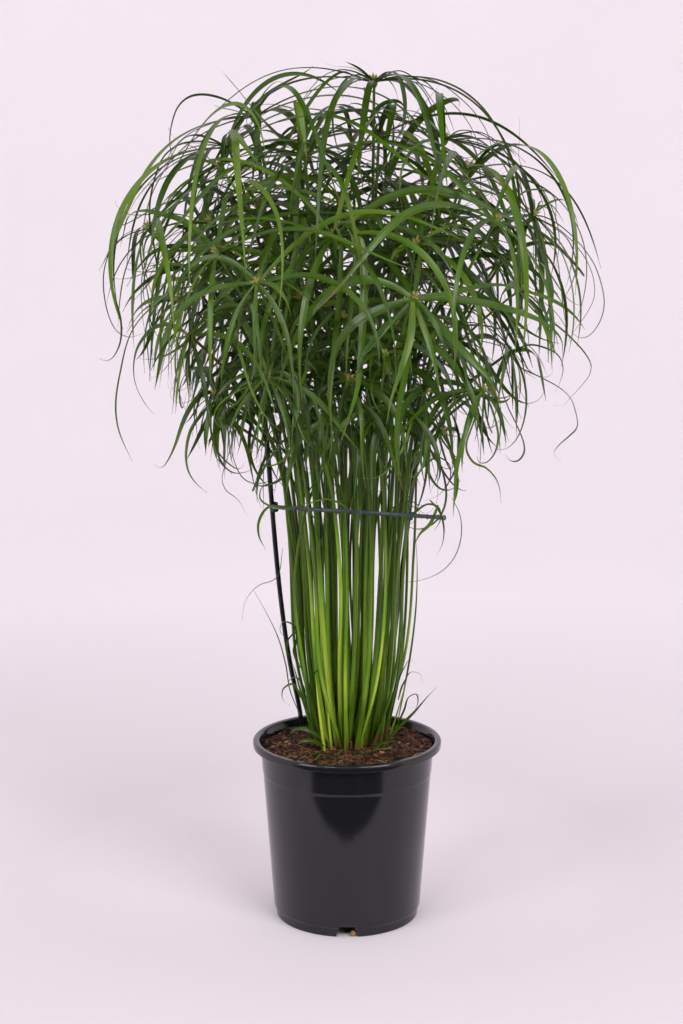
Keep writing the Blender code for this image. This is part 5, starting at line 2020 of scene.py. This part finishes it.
def add_shoot(bunch, dice):
    """A pointed spear that leans out a little."""
    root, out = foot_spot(dice, *SHOOT_AT)
    tall = dice.uniform(*SHOOT_HEIGHT)
    top = root + Vector((0, 0, tall)) + out * tall * dice.uniform(*SHOOT_LEAN)
    middle = root.lerp(top, 0.5) + out * 0.002
    line = smooth_course([root - Vector((0, 0, 0.006)), middle, top], 16)
    radius = dice.uniform(*SHOOT_RADIUS)
    add_rod(bunch, line, out, circle(8), lambda share: radius * (1.001 - share) ** 0.55,
            dice.uniform(*SHOOT_TINT))


def add_stub(bunch, dice):
    """A stem that was cut just above the soil."""
    root, out = foot_spot(dice, *STUB_AT)
    top = root + Vector((0, 0, dice.uniform(*STUB_HEIGHT))) + out * 0.003
    line = smooth_course([root - Vector((0, 0, 0.005)), top], 6)
    radius = dice.uniform(*STUB_RADIUS)
    add_rod(bunch, line, out, circle(9, 0.12), lambda share: radius, 0.1, brown=True)


shoots, dice = Bunch(), random.Random(19)
for _ in range(SHOOTS):
    add_shoot(shoots, dice)
for _ in range(STUBS):
    add_stub(shoots, dice)
show("young_shoots", shoots.mesh("young_shoots"), rind, "stem_green")
print(SHOOTS, "shoots and", STUBS, "stubs stand at the foot")

# %% Tendrils
TENDRILS = (  # width in mm, turn, then the way: across, down, depth in mm
    (1.6, 0.6, (300, 715, 0, 290, 690, -6, 286, 666, -12, 279, 640, -16, 266, 612, -20, 254, 591,
        -20)),
    (1.1, 0.5, (283, 548, 5, 275, 579, -20, 258, 586, -30, 246, 600, -30, 242, 621, -28)),
    (4.0, 1.6, (300, 668, -4, 294, 650, -16, 297, 635, -22, 292, 624, -24, 283, 622, -22, 280,
        630, -18, 285, 638, -14)),
    (3.0, 2.0, (304, 640, -2, 296, 632, -12, 288, 640, -18, 287, 652, -18, 295, 660, -12)),
    (3.2, 1.8, (308, 712, -4, 300, 695, -18, 291, 684, -26, 284, 688, -26, 283, 700, -22, 290,
        706, -16)),
    (2.2, 2.2, (306, 700, -4, 302, 684, -14, 295, 677, -18, 289, 681, -18, 290, 690, -14)),
    (5.0, 1.2, (318, 705, -18, 313, 690, -26, 312, 676, -30, 318, 670, -28, 325, 678, -24)),
    (2.6, 1.5, (398, 700, -10, 404, 682, -22, 412, 672, -28, 420, 674, -28, 422, 683, -24)),
    (2.4, 1.4, (396, 686, -4, 404, 668, -12, 410, 660, -16, 416, 664, -14)),
    (3.0, 1.6, (396, 728, -12, 404, 710, -22, 410, 696, -26, 416, 694, -24, 418, 702, -20, 414,
        712, -18)),
    (5.0, 0.8, (384, 744, -20, 398, 728, -28, 415, 711, -30, 428, 696, -30, 437, 687, -28)),
    (2.6, 0.4, (398, 720, 10, 404, 690, 4, 411, 650, -4, 416, 605, -10, 417, 560, -16, 415, 528,
        -20)),
    (1.3, 0.8, (452, 498, -30, 460, 515, -40, 461, 538, -44, 454, 558, -40, 442, 571, -34, 422,
        580, -26, 398, 583, -18)),
    (3.6, 1.4, (430, 500, -30, 440, 512, -40, 444, 528, -42, 442, 545, -40, 436, 556, -36)),
    (4.5, 1.0, (438, 505, -40, 430, 524, -44, 420, 534, -40, 414, 546, -36)),
    (3.6, 1.2, (281, 506, -30, 267, 508, -38, 259, 521, -40, 259, 536, -38, 266, 550, -34)),
    (3.0, 1.4, (306, 503, -60, 290, 508, -68, 273, 507, -62, 260, 498, -52, 263, 486, -44, 272,
        483, -40)),
    (3.4, 1.3, (403, 524, -60, 415, 512, -68, 428, 504, -68, 438, 507, -62, 440, 521, -56, 434,
        531, -52)),
    (3.2, 1.6, (412, 486, -60, 424, 466, -70, 438, 457, -74, 449, 464, -74, 450, 479, -70, 440,
        494, -64, 425, 501, -60)),
    (2.8, 1.0, (336, 517, -64, 342, 504, -88, 357, 497, -99, 380, 491, -97, 398, 484, -76)),
    (2.6, 1.2, (354, 519, -64, 343, 505, -92, 327, 499, -99, 311, 503, -90, 302, 512, -66)),
    (3.0, 1.5, (384, 523, -62, 392, 508, -90, 405, 503, -94, 416, 509, -86, 422, 521, -66)),
    (2.2, 1.8, (318, 480, -64, 309, 492, -88, 308, 508, -98, 317, 521, -94, 328, 524, -70)),
    (3.4, 1.6, (290, 470, -30, 276, 482, -44, 262, 486, -46, 250, 482, -40)),
    (5.5, 0.5, (332, 748, -12, 319, 736, -10, 306, 729, -4, 296, 729, 4, 288, 736, 28)),
    (5.0, 0.9, (328, 750, -20, 314, 741, -24, 303, 741, -20, 294, 747, -14)),
    (4.5, 1.3, (372, 751, -30, 384, 742, -30, 396, 740, -24, 409, 745, -8)),
)
LYING = (  # width in mm, turn, then the way across and down, for leaf that lies on the soil
    (3.5, 0.4, (334, 748, 322, 750, 312, 757, 302, 759)),
    (4.0, 0.8, (322, 752, 312, 761, 304, 757, 298, 762)),
    (4.0, 0.7, (376, 752, 388, 749, 399, 744, 410, 739)),
    (3.0, 0.3, (350, 753, 358, 757, 366, 755, 374, 758)),
    (3.0, 0.5, (345, 750, 336, 756, 330, 762)),
)
TENDRIL_STATIONS, LYING_STATIONS = 34, 22
LIE = 0.0016  # how far above the soil they lie
LIE_INSIDE = 0.004  # how far from the wall they end at least


def on_soil(across, down):
    """The place on the soil that a pixel shows."""
    ray = seen_at(across, down, 0.0) - CAMERA_PLACE
    spot = CAMERA_PLACE + ray * ((SOIL_LEVEL - CAMERA_PLACE.z) / ray.z)
    reach = min(1.0, (SOIL_RIM - LIE_INSIDE) / math.hypot(spot.x, spot.y))
    x, y = spot.x * reach, spot.y * reach
    return Vector((x, y, rough_height(x, y) + LIE))


tendrils, dice = Bunch(), random.Random(47)
for width, turn, way in TENDRILS:
    knots = [seen_at(across, down, depth / 1000) for across, down, depth in grouped(way, 3)]
    line = smooth_course(knots, TENDRIL_STATIONS)
    side = (knots[1] - knots[0]).cross(Vector((0, 1, 0.3))).normalized()
    add_blade(tendrils, line, side, width / 1000, turn, dice.uniform(0.2, 0.8), 0.3)
for width, turn, way in LYING:
    line = smooth_course([on_soil(*spot) for spot in grouped(way, 2)], LYING_STATIONS)
    side = (line[-1] - line[0]).cross(UP).normalized()
    add_blade(tendrils, line, side, width / 1000, turn, dice.uniform(0.3, 0.9), 1.0)
show("tendrils", tendrils.mesh("tendrils", BLADE_SHARP), green_leaf, "leaf_green")
print(len(TENDRILS) + len(LYING), "tendrils and loose leaves are laid")

# %% [markdown]
# ## Flower heads
# In the middle of every wheel sits a small knob of young straw coloured spikelets. Each is
# a tiny pointed egg, and six to ten of them make a tuft.

# %% Spikelets
SPIKELETS = (6, 10)
SPIKELET_LENGTH = (0.004, 0.009)
SPIKELET_LEAN = (0.15, 1.1)
SPIKELET_RADIUS = 0.00095
TUFT_RISE, TUFT_OUT = 0.0025, 0.0012  # where the spikelets leave the hub


def spikelet_outline(share):
    """The outline of a spikelet: a small egg with a point."""
    swell = 0.25 + math.sin(math.pi * min(1, share * 1.05)) ** 0.8
    return scaled(circle(6), SPIKELET_RADIUS * swell)


def add_tuft(bunch, tip, axis, dice):
    """A tuft of spikelets on a hub."""
    for _ in range(dice.randint(*SPIKELETS)):
        turn, lean = dice.uniform(0, math.tau), dice.uniform(*SPIKELET_LEAN)
        out = spoke(axis, turn)
        aim = (axis + out * lean).normalized()
        length = dice.uniform(*SPIKELET_LENGTH)
        root = tip + axis * TUFT_RISE + out * TUFT_OUT
        line = [root + aim * length * k / 6 for k in range(7)]
        bunch.add(line, out, spikelet_outline, tint=dice.random())


def straw_finish():
    straw = Finish("spikelet_straw", Specular_IOR_Level=0.35)
    tint, along, place = straw.value("tint"), straw.value("along"), straw.place()
    base = straw.mix(tint, (0.30, 0.34, 0.075), (0.46, 0.33, 0.11))
    scales = straw.grain(place, 1500.0, 2.0)
    tipped = straw.mix(straw.spread(along, 0.5, 1.0, 0.0, 0.6), base, (0.27, 0.15, 0.05))
    straw.colour(straw.mix(straw.spread(scales, 0.4, 0.7, 0.0, 0.4), tipped, (0.16, 0.12, 0.03)))
    straw.roughness(straw.spread(scales, 0.3, 0.7, 0.5, 0.8))
    straw.bump(scales, 0.0003, 0.7)
    return straw.material


tufts, dice = Bunch(), random.Random(61)
for tip, axis in [*zip(hubs, axes), *more_crowns]:
    add_tuft(tufts, tip, axis, dice)
show("flower_heads", tufts.mesh("flower_heads"), straw_finish(), "leaf_green")
print("The tufts have", len(tufts.grids), "spikelets")

# %% [markdown]
# ## The sizes
# The triangles of every piece are counted, and the box that the dressed plant fills is printed
# beside the solids' own box. Nothing that was added may reach outside the solids' own box by
# more than a few millimetres.

# %% Sizes
faces = [sum(len(side.vertices) - 2 for side in piece.data.polygons)
         for piece in bpy.data.objects if piece.type == "MESH"]
print("The scene has", sum(faces), "triangles, and its largest piece", max(faces))
low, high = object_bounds()
for way, *ends in zip("xyz", cad_low, cad_high, low, high):
    print(way, "of the solids, then of the dressed plant:", [round(end, 4) for end in ends])
